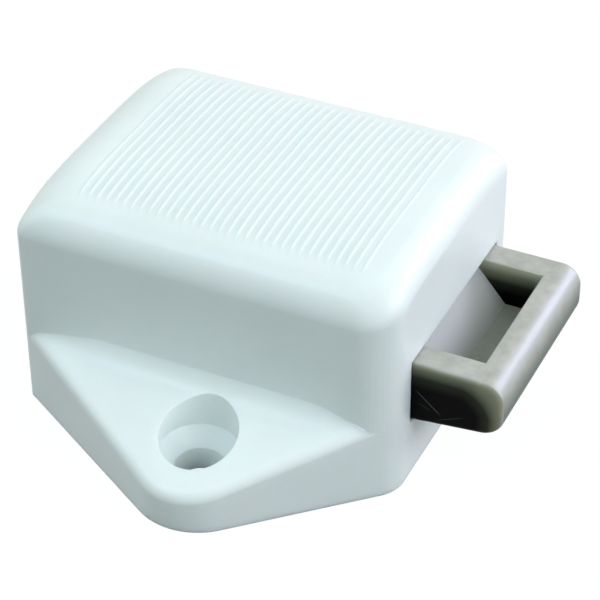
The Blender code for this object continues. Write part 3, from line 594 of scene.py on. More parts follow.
def make_housing():
    """The white moulding: block, ears, hollow, fittings, mouth and holes in one piece."""
    mouth_low = (CAVITY_FRONT - OVERLAP, -TONGUE_SIDE - MOUTH_GAP, TONGUE_BOTTOM - MOUTH_GAP)
    mouth_high = (CASE_FRONT + OVERLAP, TONGUE_SIDE + MOUTH_GAP, TONGUE_TOP + MOUTH_GAP)
    cavity_low = (CAVITY_REAR, -CAVITY_SIDE, -OVERLAP)
    cavity_high = (CAVITY_FRONT, CAVITY_SIDE, CAVITY_TOP)
    steps = [
        ("UNION", ear_solids()),
        ("DIFFERENCE", box("cavity", cavity_low, cavity_high)),
        ("UNION", case_fittings()),
        ("DIFFERENCE", plate_block("plate_recess", 0.0, -OVERLAP, PLATE_SEAT)),
        ("DIFFERENCE", box("mouth", mouth_low, mouth_high)),
        ("DIFFERENCE", joined("holes", [ear_hole(sign) for sign in SIDES])),
        ("DIFFERENCE", joined("pilots", [pilot_hole(x, y) for x, y in screw_places()])),
    ]
    mesh = combined(case_solid(), steps)
    softened(mesh, RECESS_RIM_ROUND, RIM_STEPS, on_recess_rim)
    softened(mesh, MOUTH_ROUND, RIM_STEPS, on_mouth_rim)
    add_piece("housing_moulding", mesh, WHITE_PLASTIC, "white_plastic", "case", "housing")


def screw_hole(x, y):
    """A countersunk clearance hole through the base plate."""
    head = SCREW_HEAD_RADIUS + FIT_GAP
    shank = SCREW_RADIUS + FIT_GAP
    profile = (
        (0.0, SCREW_TIP),
        (shank, SCREW_TIP),
        (shank, SCREW_SINK + head - shank),
        (head, SCREW_SINK),
        (head, -OVERLAP),
        (0.0, -OVERLAP),
    )
    return turned("screw_hole", profile, (x, y, 0.0))


def plate_risers():
    """The rails that the slider runs on, and the boss under the swinging arm."""
    made = []
    for sign in SIDES:
        low, high = sorted(sign * edge for edge in PLATE_RAIL)
        corner = (CAVITY_REAR + PLATE_RAIL_MARGIN, low, PLATE_THICKNESS - OVERLAP)
        made.append(box("rail", corner, (CAVITY_FRONT - PLATE_RAIL_MARGIN, high, PLATE_RAIL_TOP)))
    foot = (RIVET_X[0], 0, PLATE_THICKNESS - OVERLAP)
    made.append(rod("arm_boss", foot, (RIVET_X[0], 0, ARM_BOSS_TOP), ARM_BOSS_RADIUS))
    return joined("risers", made)


def on_plate_foot(edge):
    """Whether an edge lies on the base plate's underside."""
    return all(abs(vert.co.z) < NEAR for vert in edge.verts)


def make_base_plate():
    """The cover under the case, with the slider's rails, the arm's boss and all its holes."""
    plate = plate_block("base_plate", RUN_GAP, 0.0, PLATE_THICKNESS)
    holes = [screw_hole(x, y) for x, y in screw_places()]
    top = ARM_BOSS_TOP + OVERLAP
    for x in RIVET_X:
        holes.append(rod("rivet_hole", (x, 0, -OVERLAP), (x, 0, top), RIVET_RADIUS + FIT_GAP))
    mesh = combined(plate, [("UNION", plate_risers()), ("DIFFERENCE", joined("plate_holes", holes))])
    softened(mesh, PLATE_EDGE_ROUND, RIM_STEPS, on_plate_foot)
    add_piece("base_plate_moulding", mesh, BASE_PLASTIC, "base_plastic", "case", "base_plate")


def driver_blade(x, y, turn):
    """One blade of a cross recess, narrowing into the screw's head."""
    bm = bmesh.new()
    bmesh.ops.create_cube(bm, size=1.0)
    bmesh.ops.scale(bm, vec=(CROSS_LENGTH, CROSS_WIDTH, 2 * CROSS_DEPTH), verts=bm.verts)
    inner = [vert for vert in bm.verts if vert.co.z > 0]
    bmesh.ops.scale(bm, vec=(CROSS_TAPER, CROSS_TAPER, 1), verts=inner)
    bmesh.ops.rotate(bm, cent=(0, 0, 0), matrix=Matrix.Rotation(turn, 3, "Z"), verts=bm.verts)
    bmesh.ops.translate(bm, vec=(x, y, SCREW_SINK), verts=bm.verts)
    return as_mesh("blade", bm)


def make_base_screw(name, x, y, turn):
    """A small countersunk screw, head down, with a cross recess."""
    profile = (
        (0.0, SCREW_TIP),
        (SCREW_RADIUS / 2, SCREW_TIP),
        (SCREW_RADIUS, SCREW_TIP - SCREW_POINT),
        (SCREW_RADIUS, SCREW_SINK + SCREW_HEAD_RADIUS - SCREW_RADIUS),
        (SCREW_HEAD_RADIUS, SCREW_SINK + SCREW_HEAD_ROUND),
        (SCREW_HEAD_RADIUS - SCREW_HEAD_ROUND, SCREW_SINK),
        (0.0, SCREW_SINK),
    )
    blank = turned(name, profile, (x, y, 0.0))
    blades = [driver_blade(x, y, turn + quarter) for quarter in (0.0, math.pi / 2)]
    mesh = combined(blank, [("DIFFERENCE", blade) for blade in blades])
    add_piece(name + "_cross", mesh, ZINC_STEEL, "zinc_plated_steel", "case", name)


def make_base_screws():
    """The four screws that hold the base plate, each turned its own way."""
    for end, (x, y), turn in zip(SCREW_ENDS, screw_places(), SCREW_TURNS):
        make_base_screw(f"base_screw_{end}", x, y, turn)


def coil(name, y):
    """A compression spring wound along X, with closer turns at both ends."""
    bm = bmesh.new()
    start = (SPRING_REAR + SPRING_WIRE / 2, y + SPRING_RADIUS, SPRING_Z)
    place = Matrix.Translation(start)
    bmesh.ops.create_circle(bm, segments=WIRE_SIDES, radius=SPRING_WIRE / 2, matrix=place)
    bmesh.ops.contextual_create(bm, geom=list(bm.edges))
    section = [*bm.verts, *bm.edges]
    length = SPRING_FRONT - SPRING_REAR - SPRING_WIRE
    pitch = (length - 2 * SPRING_END_PITCH) / (SPRING_TURNS - 2)
    for turns, advance in ((1, SPRING_END_PITCH), (SPRING_TURNS - 2, pitch), (1, SPRING_END_PITCH)):
        wound = bmesh.ops.spin(
            bm,
            geom=section,
            cent=(0.0, y, SPRING_Z),
            axis=(1, 0, 0),
            dvec=(advance / COIL_STEPS, 0.0, 0.0),
            angle=math.tau * turns,
            steps=COIL_STEPS * turns,
        )
        section = wound["geom_last"]
    bmesh.ops.contextual_create(bm, geom=only(bmesh.types.BMEdge, section))
    return as_mesh(name, bm)


def make_return_spring(side, y):
    """A coil spring at one fixed length; the real one shortens towards the case's rear wall as the tongue
    goes in.
    """
    name = f"return_spring_{side}_coil"
    mesh = coil(name, y)
    piece = add_piece(name, mesh, SPRING_STEEL, "spring_steel", "case", f"return_spring_{side}")
    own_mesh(piece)


def upright_prism(name, points, side, rounds=()):
    """A side view in X and Z given a width, with chosen corners rounded off."""
    bm = bmesh.new()
    verts = [bm.verts.new((x, -side, z)) for x, z in points]
    bm.faces.new(verts)
    for index, radius in rounds:
        rounded_off(bm, [verts[index]], radius, ROUND_STEPS, affect="VERTICES")
    grown = bmesh.ops.extrude_face_region(bm, geom=list(bm.faces))["geom"]
    bmesh.ops.translate(bm, vec=(0.0, 2 * side, 0.0), verts=only(bmesh.types.BMVert, grown))
    return as_mesh(name, bm)


def on_tongue_side(edge):
    """Whether an edge goes round one of the tongue's two flat sides."""
    return all(abs(abs(vert.co.y) - TONGUE_SIDE) < NEAR for vert in edge.verts)


def on_pocket_rim(edge):
    """Whether an edge lies where the strike pocket breaks through the tongue's top."""
    inside = TONGUE_SIDE - POCKET_RAIL + NEAR
    return all(abs(vert.co.z - TONGUE_TOP) < NEAR and abs(vert.co.y) < inside for vert in edge.verts)


def tongue_block():
    """The tongue's bar: an underside that rises towards a rounded nose, and softened sides."""
    outline = (
        (CAVITY_FRONT, TONGUE_BOTTOM),
        (CASE_FRONT, TONGUE_BOTTOM),
        (TONGUE_NOSE, TONGUE_BOTTOM + TONGUE_RISE),
        (TONGUE_NOSE, TONGUE_TOP),
        (CAVITY_FRONT, TONGUE_TOP),
    )
    block = upright_prism("tongue", outline, TONGUE_SIDE, ((2, NOSE_ROUND), (3, NOSE_ROUND)))
    softened(block, TONGUE_EDGE_ROUND, RIM_STEPS, on_tongue_side)
    return block


def strike_pocket():
    """The pocket for the strike's hook: a flat floor with a ramp behind it."""
    front = TONGUE_NOSE - NOSE_BAR
    foot = front - POCKET_FLOOR_LENGTH
    top = foot - POCKET_RAMP_LENGTH
    above = TONGUE_TOP + OVERLAP
    outline = ((foot, POCKET_FLOOR), (front, POCKET_FLOOR), (front, above), (top, above), (top, TONGUE_TOP))
    return upright_prism("pocket", outline, TONGUE_SIDE - POCKET_RAIL)


def make_tongue():
    """The casting: bar, strike pocket, and a tenon with a hole for the cross pin."""
    middle = (TONGUE_TOP + TONGUE_BOTTOM) / 2
    half = TENON_HEIGHT / 2
    low = (CAVITY_FRONT - TENON_LENGTH, -TENON_WIDTH / 2, middle - half)
    tenon = box("tenon", low, (CAVITY_FRONT + OVERLAP, TENON_WIDTH / 2, middle + half))
    pin_x = CAVITY_FRONT - TENON_LENGTH / 2
    pin_start = (pin_x, -TONGUE_SIDE, middle)
    pin_end = (pin_x, TONGUE_SIDE, middle)
    steps = [
        ("DIFFERENCE", strike_pocket()),
        ("UNION", tenon),
        ("DIFFERENCE", rod("pin_hole", pin_start, pin_end, PIN_RADIUS + FIT_GAP)),
    ]
    mesh = combined(tongue_block(), steps)
    softened(mesh, POCKET_RIM_ROUND, RIM_STEPS, on_pocket_rim)
    add_piece("tongue_casting", mesh, SATIN_ZINC, "satin_zinc", "bolt", "tongue")


def colour(code):
    """An sRGB hex value as linear red, green, blue and alpha."""
    parts = [int(code[index : index + 2], 16) / 255 for index in (1, 3, 5)]
    linear = [part / 12.92 if part <= 0.04045 else ((part + 0.055) / 1.055) ** 2.4 for part in parts]
    return (*linear, 1.0)


def feed(tree, node, links):
    """Links sources to a node's sockets by name or number."""
    for socket, source in links.items():
        tree.links.new(source, node.inputs[socket])


def add_node(tree, kind, values=None, links=None, **settings):
    """A shader node with its settings, its sockets' values and what feeds its sockets."""
    node = tree.nodes.new("ShaderNode" + kind)
    for name, value in settings.items():
        setattr(node, name, value)
    for socket, value in (values or {}).items():
        node.inputs[socket].default_value = value
    feed(tree, node, links or {})
    return node


def fill_ramp(ramp, stops):
    """Sets a colour ramp's stops from positions and hex colours."""
    while len(ramp.elements) < len(stops):
        ramp.elements.new(1.0)
    for element, (position, code) in zip(ramp.elements, stops):
        element.position = position
        element.color = colour(code)


def new_finish(name, **sockets):
    """A material with a Principled shader whose constant sockets are set by name."""
    finish = bpy.data.materials.new(name)
    finish.use_nodes = True
    shader = finish.node_tree.nodes["Principled BSDF"]
    for socket, value in sockets.items():
        shader.inputs[socket.replace("_", " ")].default_value = value
    return finish, finish.node_tree, shader


# Plastics; the mould's grain is drawn coarser than the real one, so that it shows
CLOUD_STOPS = (0.3, 0.7)
FLOW_SIZE = 9.0 * MM
GRAIN_SIZE = 0.35 * MM
GRAIN_STRENGTH = 0.15
PLASTIC_RELIEF = 0.02 * MM
GLOSS_SPREAD = 0.05
# Painted shade between the grip ribs: where it starts and where it is full, as shares of the rib pitch
VALLEY_SHADE_SHARES = (0.14, 0.36)
WAXY_FLOW_SIZE = 2.0 * MM
WAXY_FLOW_STRETCH = (0.2, 1.0, 1.0)
WAXY_FLOW_STRENGTH = 0.1

# Metals
METAL_RELIEF = 0.01 * MM
METAL_STRENGTH = 0.12

# Zinc casting, tumbled faces with painted reflection and shade; the grit is drawn coarser than the real
# one, so that it shows
CASTING_GRIT = 0.3 * MM
CASTING_GLOSS = (0.4, 0.54)
TUMBLE_SIZE = 1.2 * MM
TUMBLE_STOPS = ((0.35, "#abada6"), (0.65, "#b9bab3"))
# Painted reflection: a cooler grey on the faces that slant, such as the ramp and the nose's rounding
SLANT_REFLECTION_TINT = "#abb0af"
SQUARE_FACING = 0.8
# Painted shade at the foot of the nose front and on the pocket's floor: its tint, the heights over which it
# comes in, and how much of it the floor takes
PAINTED_SHADE_TINT = "#68746b"
PAINTED_SHADE_HEIGHTS = (TONGUE_TOP - 0.8 * MM, POCKET_FLOOR + 1.2 * MM)
POCKET_PAINTED_SHADE = 0.5
DULL_METAL = 0.15
BRIGHT_METAL = 0.45
BRIGHT_RUN = 0.5 * MM

# Zinc casting, painted shade and dark reflection on its sides, pocket walls and underside
SIDE_SHADE_FACING = (0.35, 0.85)
UNDERSIDE_WEIGHT = -2.0
SIDE_SHADE_FADE = 4.2 * MM
SIDE_SHADE_AT_SIDE = 0.19
SIDE_SHADE_STOPS = ((0.0, "#c6c6b4"), (0.28, "#7b7f6d"), (0.55, "#2b2e26"), (0.85, "#020203"))
SCRATCH_TINT = "#8f9698"
SCRATCH_WIDTH = 0.07 * MM
SCRATCH_FULL = 0.3

# Scratches on the painted dark sides: both ends in X and Z, and how plain each one is
SCRATCHES = (
    ((20.3 * MM, 10.7 * MM), (23.1 * MM, 8.3 * MM), 0.35),
    ((20.6 * MM, 9.2 * MM), (22.0 * MM, 8.6 * MM), 0.1),
    ((22.4 * MM, 7.6 * MM), (25.4 * MM, 8.9 * MM), 0.12),
)


def rib_field(tree, spot):
    """Where the ribbed field lies on the case's top, from 0 to 1."""
    half = RIB_SPAN / 2
    middle = add_node(tree, "Math", {1: RIB_FIRST_X + half}, {0: spot.outputs["X"]}, operation="SUBTRACT")
    above = add_node(
        tree,
        "Math",
        {1: CASE_HEIGHT - TOP_ROUND},
        {0: spot.outputs["Z"]},
        operation="GREATER_THAN",
    )
    field = above.outputs[0]
    for source, reach in ((middle.outputs[0], half), (spot.outputs["Y"], RIB_LENGTH / 2)):
        size = add_node(tree, "Math", links={0: source}, operation="ABSOLUTE")
        within = add_node(
            tree,
            "MapRange",
            {"From Min": reach, "From Max": reach - RIB_END_RUN},
            {"Value": size.outputs[0]},
        )
        both = add_node(tree, "Math", links={0: field, 1: within.outputs["Result"]}, operation="MULTIPLY")
        field = both.outputs[0]
    return field


def rib_valley_shade_mask(tree, place):
    """Where the painted shade between the grip ribs falls on the flat strips, from 0 to 1."""
    spot = add_node(tree, "SeparateXYZ", links={0: place})
    count = add_node(
        tree,
        "MapRange",
        {"From Min": RIB_FIRST_X, "From Max": RIB_FIRST_X + RIB_PITCH},
        {"Value": spot.outputs["X"]},
        clamp=False,
    )
    swing = add_node(tree, "Math", {1: 0.5}, {0: count.outputs["Result"]}, operation="PINGPONG")
    between = add_node(
        tree,
        "MapRange",
        {"From Min": VALLEY_SHADE_SHARES[0], "From Max": VALLEY_SHADE_SHARES[1]},
        {"Value": swing.outputs[0]},
        interpolation_type="SMOOTHSTEP",
    )
    both = add_node(
        tree,
        "Math",
        links={0: between.outputs["Result"], 1: rib_field(tree, spot)},
        operation="MULTIPLY",
    )
    return both.outputs[0]


def moulded_abs(name, tints, roughness, valley_shade=None):
    """Moulded ABS: a semi-gloss skin with faint flow clouds and a fine spark-eroded grain, and light
    that sinks in a little and softens its edges. The flat strips between the grip ribs take the
    valley tint as painted shade, so that the ribs look paler than the ground between them."""
    finish, tree, shader = new_finish(
        name,
        IOR=1.53,
        Subsurface_Weight=0.8,
        Subsurface_Radius=(1.0, 0.8, 0.7),
        Subsurface_Scale=1.3 * MM,
    )
    place = add_node(tree, "TexCoord").outputs["Object"]
    flow = add_node(tree, "TexNoise", {"Scale": 1 / FLOW_SIZE, "Detail": 3.0}, {"Vector": place})
    cloud = add_node(tree, "ValToRGB", links={"Fac": flow.outputs["Fac"]})
    fill_ramp(cloud.color_ramp, tuple(zip(CLOUD_STOPS, tints)))
    skin = cloud.outputs["Color"]
    # Painted shade: the strips between the grip ribs take the darker valley tint
    if valley_shade:
        mix = add_node(
            tree,
            "Mix",
            {"B": colour(valley_shade)},
            {"Factor": rib_valley_shade_mask(tree, place), "A": skin},
            data_type="RGBA",
        )
        skin = mix.outputs["Result"]
    gloss = add_node(
        tree,
        "MapRange",
        {"To Min": roughness - GLOSS_SPREAD, "To Max": roughness + GLOSS_SPREAD},
        {"Value": flow.outputs["Fac"]},
    )
    grain = add_node(tree, "TexNoise", {"Scale": 1 / GRAIN_SIZE, "Detail": 2.0}, {"Vector": place})
    bump = add_node(
        tree,
        "Bump",
        {"Strength": GRAIN_STRENGTH, "Distance": PLASTIC_RELIEF},
        {"Height": grain.outputs["Fac"]},
    )
    links = {
        "Base Color": skin,
        "Roughness": gloss.outputs["Result"],
        "Normal": bump.outputs["Normal"],
    }
    feed(tree, shader, links)
    return finish


def natural_acetal():
    """Natural acetal: a waxy, faintly warm white that light sinks into, with soft flow lines."""
    finish, tree, shader = new_finish(
        "natural_acetal",
        Roughness=0.42,
        IOR=1.48,
        Subsurface_Weight=0.7,
        Subsurface_Radius=(1.0, 1.0, 0.9),
        Subsurface_Scale=1.2 * MM,
    )
    place = add_node(tree, "TexCoord").outputs["Object"]
    along = add_node(tree, "Mapping", {"Scale": WAXY_FLOW_STRETCH}, {"Vector": place})
    flow = add_node(
        tree,
        "TexNoise",
        {"Scale": 1 / WAXY_FLOW_SIZE, "Detail": 3.0},
        {"Vector": along.outputs["Vector"]},
    )
    cloud = add_node(tree, "ValToRGB", links={"Fac": flow.outputs["Fac"]})
    fill_ramp(cloud.color_ramp, tuple(zip(CLOUD_STOPS, ("#e9e7de", "#f0efe8"))))
    bump = add_node(
        tree,
        "Bump",
        {"Strength": WAXY_FLOW_STRENGTH, "Distance": PLASTIC_RELIEF},
        {"Height": flow.outputs["Fac"]},
    )
    feed(tree, shader, {"Base Color": cloud.outputs["Color"], "Normal": bump.outputs["Normal"]})
    return finish


def worked_steel(name, tints, roughness, grit, stretch):
    """Steel with the marks of its making: fine lines drawn out along its length where it was drawn
    or ground, or small spangles where it was plated."""
    finish, tree, shader = new_finish(name, Metallic=1.0)
    place = add_node(tree, "TexCoord").outputs["Object"]
    drawn = add_node(tree, "Mapping", {"Scale": stretch}, {"Vector": place})
    marks = add_node(
        tree,
        "TexNoise",
        {"Scale": 1 / grit, "Detail": 4.0},
        {"Vector": drawn.outputs["Vector"]},
    )
    shade = add_node(tree, "ValToRGB", links={"Fac": marks.outputs["Fac"]})
    fill_ramp(shade.color_ramp, tuple(zip(CLOUD_STOPS, tints)))
    low, high = CLOUD_STOPS
    gloss = add_node(
        tree,
        "MapRange",
        {"From Min": low, "From Max": high, "To Min": roughness[0], "To Max": roughness[1]},
        {"Value": marks.outputs["Fac"]},
    )
    bump = add_node(
        tree,
        "Bump",
        {"Strength": METAL_STRENGTH, "Distance": METAL_RELIEF},
        {"Height": marks.outputs["Fac"]},
    )
    links = {
        "Base Color": shade.outputs["Color"],
        "Roughness": gloss.outputs["Result"],
        "Normal": bump.outputs["Normal"],
    }
    feed(tree, shader, links)
    return finish


def scratch(tree, place, start, end):
    """A fine straight scratch between two points of the tongue's side, in X and Z, from 0 to 1."""
    line = Vector((end[0] - start[0], 0.0, end[1] - start[1]))
    turn = math.atan2(line.z, line.x)
    along = add_node(
        tree,
        "Mapping",
        {"Location": (start[0], 0.0, start[1]), "Rotation": (0.0, -turn, 0.0)},
        {"Vector": place},
        vector_type="TEXTURE",
    )
    spot = add_node(tree, "SeparateXYZ", links={0: along.outputs["Vector"]})
    share = add_node(
        tree,
        "MapRange",
        {"From Max": line.length, "To Min": -0.5, "To Max": 0.5},
        {"Value": spot.outputs["X"]},
        clamp=False,
    )
    from_middle = add_node(tree, "Math", links={0: share.outputs["Result"]}, operation="ABSOLUTE")
    inside = add_node(
        tree,
        "MapRange",
        {"From Min": 0.5, "From Max": SCRATCH_FULL},
        {"Value": from_middle.outputs[0]},
    )
    off = add_node(tree, "Math", links={0: spot.outputs["Z"]}, operation="ABSOLUTE")
    mark = add_node(
        tree,
        "MapRange",
        {"From Min": SCRATCH_WIDTH, "From Max": 0.0},
        {"Value": off.outputs[0]},
    )
    both = add_node(
        tree,
        "Math",
        links={0: mark.outputs["Result"], 1: inside.outputs["Result"]},
        operation="MULTIPLY",
    )
    return both.outputs[0]


def painted_side_shade(tree, place, spot):
    """Colour of the casting's painted shade and dark reflection: lighter brown near the top and the nose,
    darker further from them and on the outer sides, scratched below.
    """
    # Painted shade: darker further down from the top and further back from the nose
    depth = add_node(tree, "Math", operation="MULTIPLY")
    for socket, (axis, edge) in enumerate((("Z", TONGUE_TOP), ("X", TONGUE_NOSE))):
        fade = add_node(
            tree,
            "MapRange",
            {"From Min": edge, "From Max": edge - SIDE_SHADE_FADE},
            {"Value": spot.outputs[axis]},
        )
        feed(tree, depth, {socket: fade.outputs["Result"]})
    # Painted dark reflection: the outer sides go darker still
    across = add_node(tree, "Math", links={0: spot.outputs["Y"]}, operation="ABSOLUTE")
    outside = add_node(
        tree,
        "MapRange",
        {"From Min": TONGUE_SIDE - POCKET_RAIL, "From Max": TONGUE_SIDE, "To Max": SIDE_SHADE_AT_SIDE},
        {"Value": across.outputs[0]},
    )
    darkness = add_node(
        tree,
        "Math",
        links={0: depth.outputs[0], 1: outside.outputs["Result"]},
        operation="ADD",
    )
    skin = add_node(tree, "ValToRGB", links={"Fac": darkness.outputs[0]})
    fill_ramp(skin.color_ramp, SIDE_SHADE_STOPS)
    scratched_side_shade = skin.outputs["Color"]
    for start, end, strength in SCRATCHES:
        mark = scratch(tree, place, start, end)
        faint = add_node(tree, "Math", {1: strength}, {0: mark}, operation="MULTIPLY")
        mix = add_node(
            tree,
            "Mix",
            {"B": colour(SCRATCH_TINT)},
            {"Factor": faint.outputs[0], "A": scratched_side_shade},
            data_type="RGBA",
        )
        scratched_side_shade = mix.outputs["Result"]
    return scratched_side_shade


def pale_faces_with_painted_light(tree, place, spot, facing):
    """Colour of the pale faces: a tumbled tone, a cooler grey on the slanting ones as painted reflection,
    and painted shade at the foot of the nose and on the pocket's floor."""
    cloud = add_node(tree, "TexNoise", {"Scale": 1 / TUMBLE_SIZE, "Detail": 5.0}, {"Vector": place})
    rubbed = add_node(tree, "ValToRGB", links={"Fac": cloud.outputs["Fac"]})
    fill_ramp(rubbed.color_ramp, TUMBLE_STOPS)
    # Painted shade: darker towards the foot of the nose front and down on the pocket's floor
    low = add_node(
        tree,
        "MapRange",
        {"From Min": PAINTED_SHADE_HEIGHTS[0], "From Max": PAINTED_SHADE_HEIGHTS[1]},
        {"Value": spot.outputs["Z"]},
    )
    # Painted reflection: faces that slant away from X and Z take the cooler grey
    squarely = add_node(
        tree,
        "Math",
        links={0: facing.outputs["X"], 1: facing.outputs["Z"]},
        operation="MAXIMUM",
    )
    flat = add_node(tree, "MapRange", {"From Min": SQUARE_FACING}, {"Value": squarely.outputs[0]})
    slant_reflection = add_node(
        tree,
        "Mix",
        {"A": colour(SLANT_REFLECTION_TINT)},
        {"Factor": flat.outputs["Result"], "B": rubbed.outputs["Color"]},
        data_type="RGBA",
    )
    front = add_node(tree, "MapRange", {"From Min": SQUARE_FACING}, {"Value": facing.outputs["X"]})
    floor = add_node(
        tree,
        "MapRange",
        {"From Min": SQUARE_FACING, "To Max": POCKET_PAINTED_SHADE},
        {"Value": facing.outputs["Z"]},
    )
    either = add_node(
        tree,
        "Math",
        links={0: front.outputs["Result"], 1: floor.outputs["Result"]},
        operation="ADD",
    )
    painted_shade = add_node(
        tree,
        "Math",
        links={0: low.outputs["Result"], 1: either.outputs[0]},
        operation="MULTIPLY",
    )
    # The painted shade is mixed over the pale faces here
    mix = add_node(
        tree,
        "Mix",
        {"B": colour(PAINTED_SHADE_TINT)},
        {"Factor": painted_shade.outputs[0], "A": slant_reflection.outputs["Result"]},
        data_type="RGBA",
    )
    return mix.outputs["Result"]


def side_shade_share(tree, facing):
    """Where the painted shade and dark reflection go, on the casting's sides and underneath, from 0 to 1.
    """
    sideways = add_node(tree, "Math", links={0: facing.outputs["Y"]}, operation="ABSOLUTE")
    downward = add_node(tree, "Math", {1: UNDERSIDE_WEIGHT}, {0: facing.outputs["Z"]}, operation="MULTIPLY")
    shade_facing = add_node(
        tree,
        "Math",
        links={0: sideways.outputs[0], 1: downward.outputs[0]},
        operation="MAXIMUM",
    )
    share = add_node(
        tree,
        "MapRange",
        {"From Min": SIDE_SHADE_FACING[0], "From Max": SIDE_SHADE_FACING[1]},
        {"Value": shade_facing.outputs[0]},
        interpolation_type="SMOOTHSTEP",
    )
    return share.outputs["Result"]


def satin_zinc():
    """Satin zinc die casting: a tumbled pale grey, brightest on the nose, with painted shade and
    dark reflection on its sides and underside, painted lighter brown towards their edges."""
    finish, tree, shader = new_finish("satin_zinc_casting", Specular_IOR_Level=0.05)
    coord = add_node(tree, "TexCoord")
    place = coord.outputs["Object"]
    spot = add_node(tree, "SeparateXYZ", links={0: place})
    facing = add_node(tree, "SeparateXYZ", links={0: coord.outputs["Normal"]})
    # Painted shade and dark reflection over the pale faces, on the sides and underneath
    mix = add_node(
        tree,
        "Mix",
        links={
            "Factor": side_shade_share(tree, facing),
            "A": pale_faces_with_painted_light(tree, place, spot, facing),
            "B": painted_side_shade(tree, place, spot),
        },
        data_type="RGBA",
    )
    bar = TONGUE_NOSE - NOSE_BAR
    bright = add_node(
        tree,
        "MapRange",
        {"From Min": bar, "From Max": bar + BRIGHT_RUN, "To Min": DULL_METAL, "To Max": BRIGHT_METAL},
        {"Value": spot.outputs["X"]},
    )
    grit = add_node(tree, "TexNoise", {"Scale": 1 / CASTING_GRIT, "Detail": 3.0}, {"Vector": place})
    gloss = add_node(
        tree,
        "MapRange",
        {"To Min": CASTING_GLOSS[0], "To Max": CASTING_GLOSS[1]},
        {"Value": grit.outputs["Fac"]},
    )
    bump = add_node(
        tree,
        "Bump",
        {"Strength": METAL_STRENGTH, "Distance": METAL_RELIEF},
        {"Height": grit.outputs["Fac"]},
    )
    links = {
        "Base Color": mix.outputs["Result"],
        "Metallic": bright.outputs["Result"],
        "Roughness": gloss.outputs["Result"],
        "Normal": bump.outputs["Normal"],
    }
    feed(tree, shader, links)
    return finish


# The valley tint is painted shade in the strips between the grip ribs
WHITE_PLASTIC = moulded_abs("moulded_white_abs", ("#e2ecec", "#e6f0f0"), 0.38, valley_shade="#dde8e8")
BASE_PLASTIC = moulded_abs("moulded_base_abs", ("#d9e1e2", "#dfe6e7"), 0.5)
SATIN_ZINC = satin_zinc()
ACETAL = natural_acetal()
STEEL = worked_steel(
    "drawn_bright_steel",
    tints=("#b4b5b8", "#c8c9cb"),
    roughness=(0.25, 0.38),
    grit=0.2 * MM,
    stretch=(1.0, 1.0, 0.1),
)
ZINC_STEEL = worked_steel(
    "zinc_plated_steel",
    tints=("#bfc3c8", "#d4d6d8"),
    roughness=(0.28, 0.42),
    grit=0.6 * MM,
    stretch=(1.0, 1.0, 1.0),
)
SPRING_STEEL = worked_steel(
    "oiled_spring_steel",
    tints=("#83848a", "#9a9ba0"),
    roughness=(0.25, 0.4),
    grit=0.25 * MM,
    stretch=(0.2, 1.0, 1.0),
)

KEPT_SOLIDS = {
    "slider": ACETAL,
    "tongue_pin": STEEL,
    "cam_arm": ZINC_STEEL,
    "follower_pin": STEEL,
    "arm_rivet": STEEL,
    "arm_spring": SPRING_STEEL,
    "spring_rivet": STEEL,
}


def dress_solids():
    """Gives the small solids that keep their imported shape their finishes."""
    for name, finish in KEPT_SOLIDS.items():
        for place in NODES[name].material_slots:
            place.material = finish


make_housing()
make_base_plate()
make_base_screws()
make_tongue()
for side, sign in zip(("left", "right"), SIDES):
    make_return_spring(side, sign * SPRING_Y)
dress_solids()

# Camera, as fitted to the photo's edges
VIEW_TURN = math.radians(25.502)
VIEW_RISE = math.radians(36.779)
VIEW_ROLL = math.radians(-0.317)
VIEW_DISTANCE = 234.87 * MM
VIEW_TARGET = Vector((0.0, 0.0, 8.0)) * MM
VIEW_SLIDE = Vector((2.824, -0.367)) * MM
LENS = 138.0
CLIP_START = 10.0 * MM

# Light and floor
LAMP_AIM = Vector((0.0, 0.0, 10.0)) * MM
AMBIENT = 0.48
AMBIENT_TINT = "#f6ffea"
WHITE = "#ffffff"
FLOOR_HALF = 2.0
FLOOR_DROP = 0.02 * MM
FLOOR_BOUNCE = "#5c6160"
FLOOR_SEEN = "#a0a5a4"
FLOOR_GLOW = 1.18
FLOOR_GLOW_SHARE = 0.8


def place_camera():
    """The photo's view: turned and raised about a point in the latch, with a slight roll."""
    camera = placed("camera", bpy.data.cameras.new("camera"))
    turn = (
        Matrix.Rotation(VIEW_TURN, 4, "Z")
        @ Matrix.Rotation(math.pi / 2 - VIEW_RISE, 4, "X")
        @ Matrix.Rotation(VIEW_ROLL, 4, "Z")
    )
    back_off = Matrix.Translation((*VIEW_SLIDE, VIEW_DISTANCE))
    camera.matrix_world = Matrix.Translation(VIEW_TARGET) @ turn @ back_off
    camera.data.lens = LENS
    camera.data.clip_start = CLIP_START
    bpy.context.scene.camera = camera


def area_lamp(name, place, size, power, tint):
    """A square soft box that faces the latch."""
    lamp = bpy.data.lights.new(name, "AREA")
    lamp.size = size
    lamp.energy = power
    lamp.color = colour(tint)[:3]
    turn = (LAMP_AIM - Vector(place)).to_track_quat("-Z", "Y").to_matrix().to_4x4()
    placed(name, lamp).matrix_world = Matrix.Translation(place) @ turn


def background_rays(tree, path):
    """Marks the rays that see the plain background: the camera's, and those off gloss or through glass."""
    seen = path.outputs["Is Camera Ray"]
    for kind in ("Is Glossy Ray", "Is Transmission Ray"):
        either = add_node(tree, "Math", links={0: seen, 1: path.outputs[kind]}, operation="MAXIMUM")
        seen = either.outputs[0]
    return seen


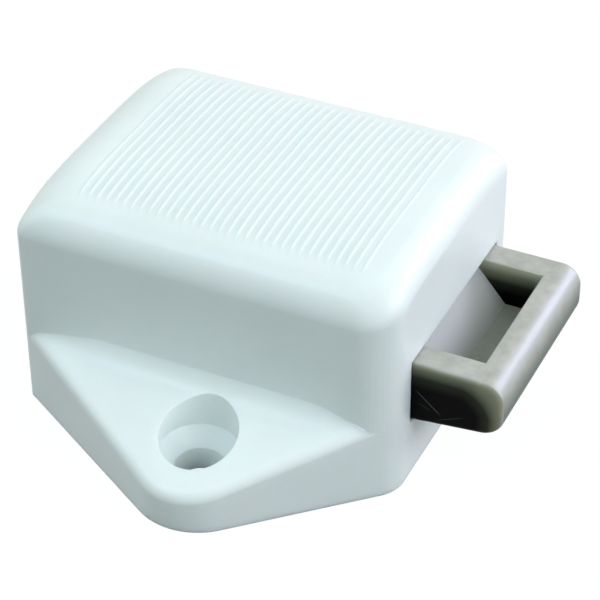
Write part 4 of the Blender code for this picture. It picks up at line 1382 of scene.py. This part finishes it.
def light_world():
    """A white surround that lights the latch with a weaker, faintly tinted glow."""
    world = bpy.data.worlds.new("studio")
    world.use_nodes = True
    bpy.context.scene.world = world
    tree = world.node_tree
    seen = background_rays(tree, add_node(tree, "LightPath"))
    strength = add_node(tree, "MapRange", {"To Min": AMBIENT, "To Max": 1.0}, {"Value": seen})
    tint = add_node(
        tree,
        "Mix",
        {"A": colour(AMBIENT_TINT), "B": colour(WHITE)},
        {"Factor": seen},
        data_type="RGBA",
    )
    links = {"Strength": strength.outputs["Result"], "Color": tint.outputs["Result"]}
    feed(tree, tree.nodes["Background"], links)


def pale_floor():
    """Pale matt board: the camera sees it as white, with the latch's soft shadow on it."""
    finish = bpy.data.materials.new("pale_floor")
    finish.use_nodes = True
    tree = finish.node_tree
    tree.nodes.remove(tree.nodes["Principled BSDF"])
    path = add_node(tree, "LightPath")
    seen = background_rays(tree, path)
    share = add_node(tree, "MapRange", {"To Max": FLOOR_GLOW_SHARE}, {"Value": seen})
    tint = add_node(
        tree,
        "Mix",
        {"A": colour(FLOOR_BOUNCE), "B": colour(FLOOR_SEEN)},
        {"Factor": path.outputs["Is Camera Ray"]},
        data_type="RGBA",
    )
    matt = add_node(tree, "BsdfDiffuse", links={"Color": tint.outputs["Result"]})
    glow = add_node(tree, "Emission", {"Strength": FLOOR_GLOW})
    mix = add_node(
        tree,
        "MixShader",
        links={0: share.outputs["Result"], 1: matt.outputs["BSDF"], 2: glow.outputs["Emission"]},
    )
    feed(tree, tree.nodes["Material Output"], {"Surface": mix.outputs["Shader"]})
    return finish


def lay_floor():
    """The floor, a hair below the latch's underside."""
    bm = bmesh.new()
    bmesh.ops.create_grid(bm, x_segments=1, y_segments=1, size=FLOOR_HALF)
    bmesh.ops.translate(bm, vec=(0.0, 0.0, -FLOOR_DROP), verts=bm.verts)
    mesh = as_mesh("floor", bm)
    mesh.materials.append(pale_floor())
    floor = placed("floor", mesh)


bpy.context.scene.view_settings.view_transform = "Standard"
place_camera()
light_world()
lay_floor()
area_lamp("overhead", (0.0, 0.0, 0.45), size=0.25, power=0.17, tint="#fffaff")
area_lamp("near_left", (-0.155, -0.25, 0.34), size=0.12, power=0.4, tint="#d4e6ff")
area_lamp("front_overhead", (0.36, 0.02, 0.27), size=0.4, power=0.69, tint="#fffafc")
area_lamp("front", (0.38, -0.09, 0.22), size=0.28, power=0.74, tint="#e4e8ff")
area_lamp("nose_strip", (0.23, 0.33, 0.15), size=0.13, power=0.55, tint="#ebe2ff")
area_lamp("rear", (-0.38, -0.08, 0.22), size=0.3, power=0.3, tint="#e8f0ff")
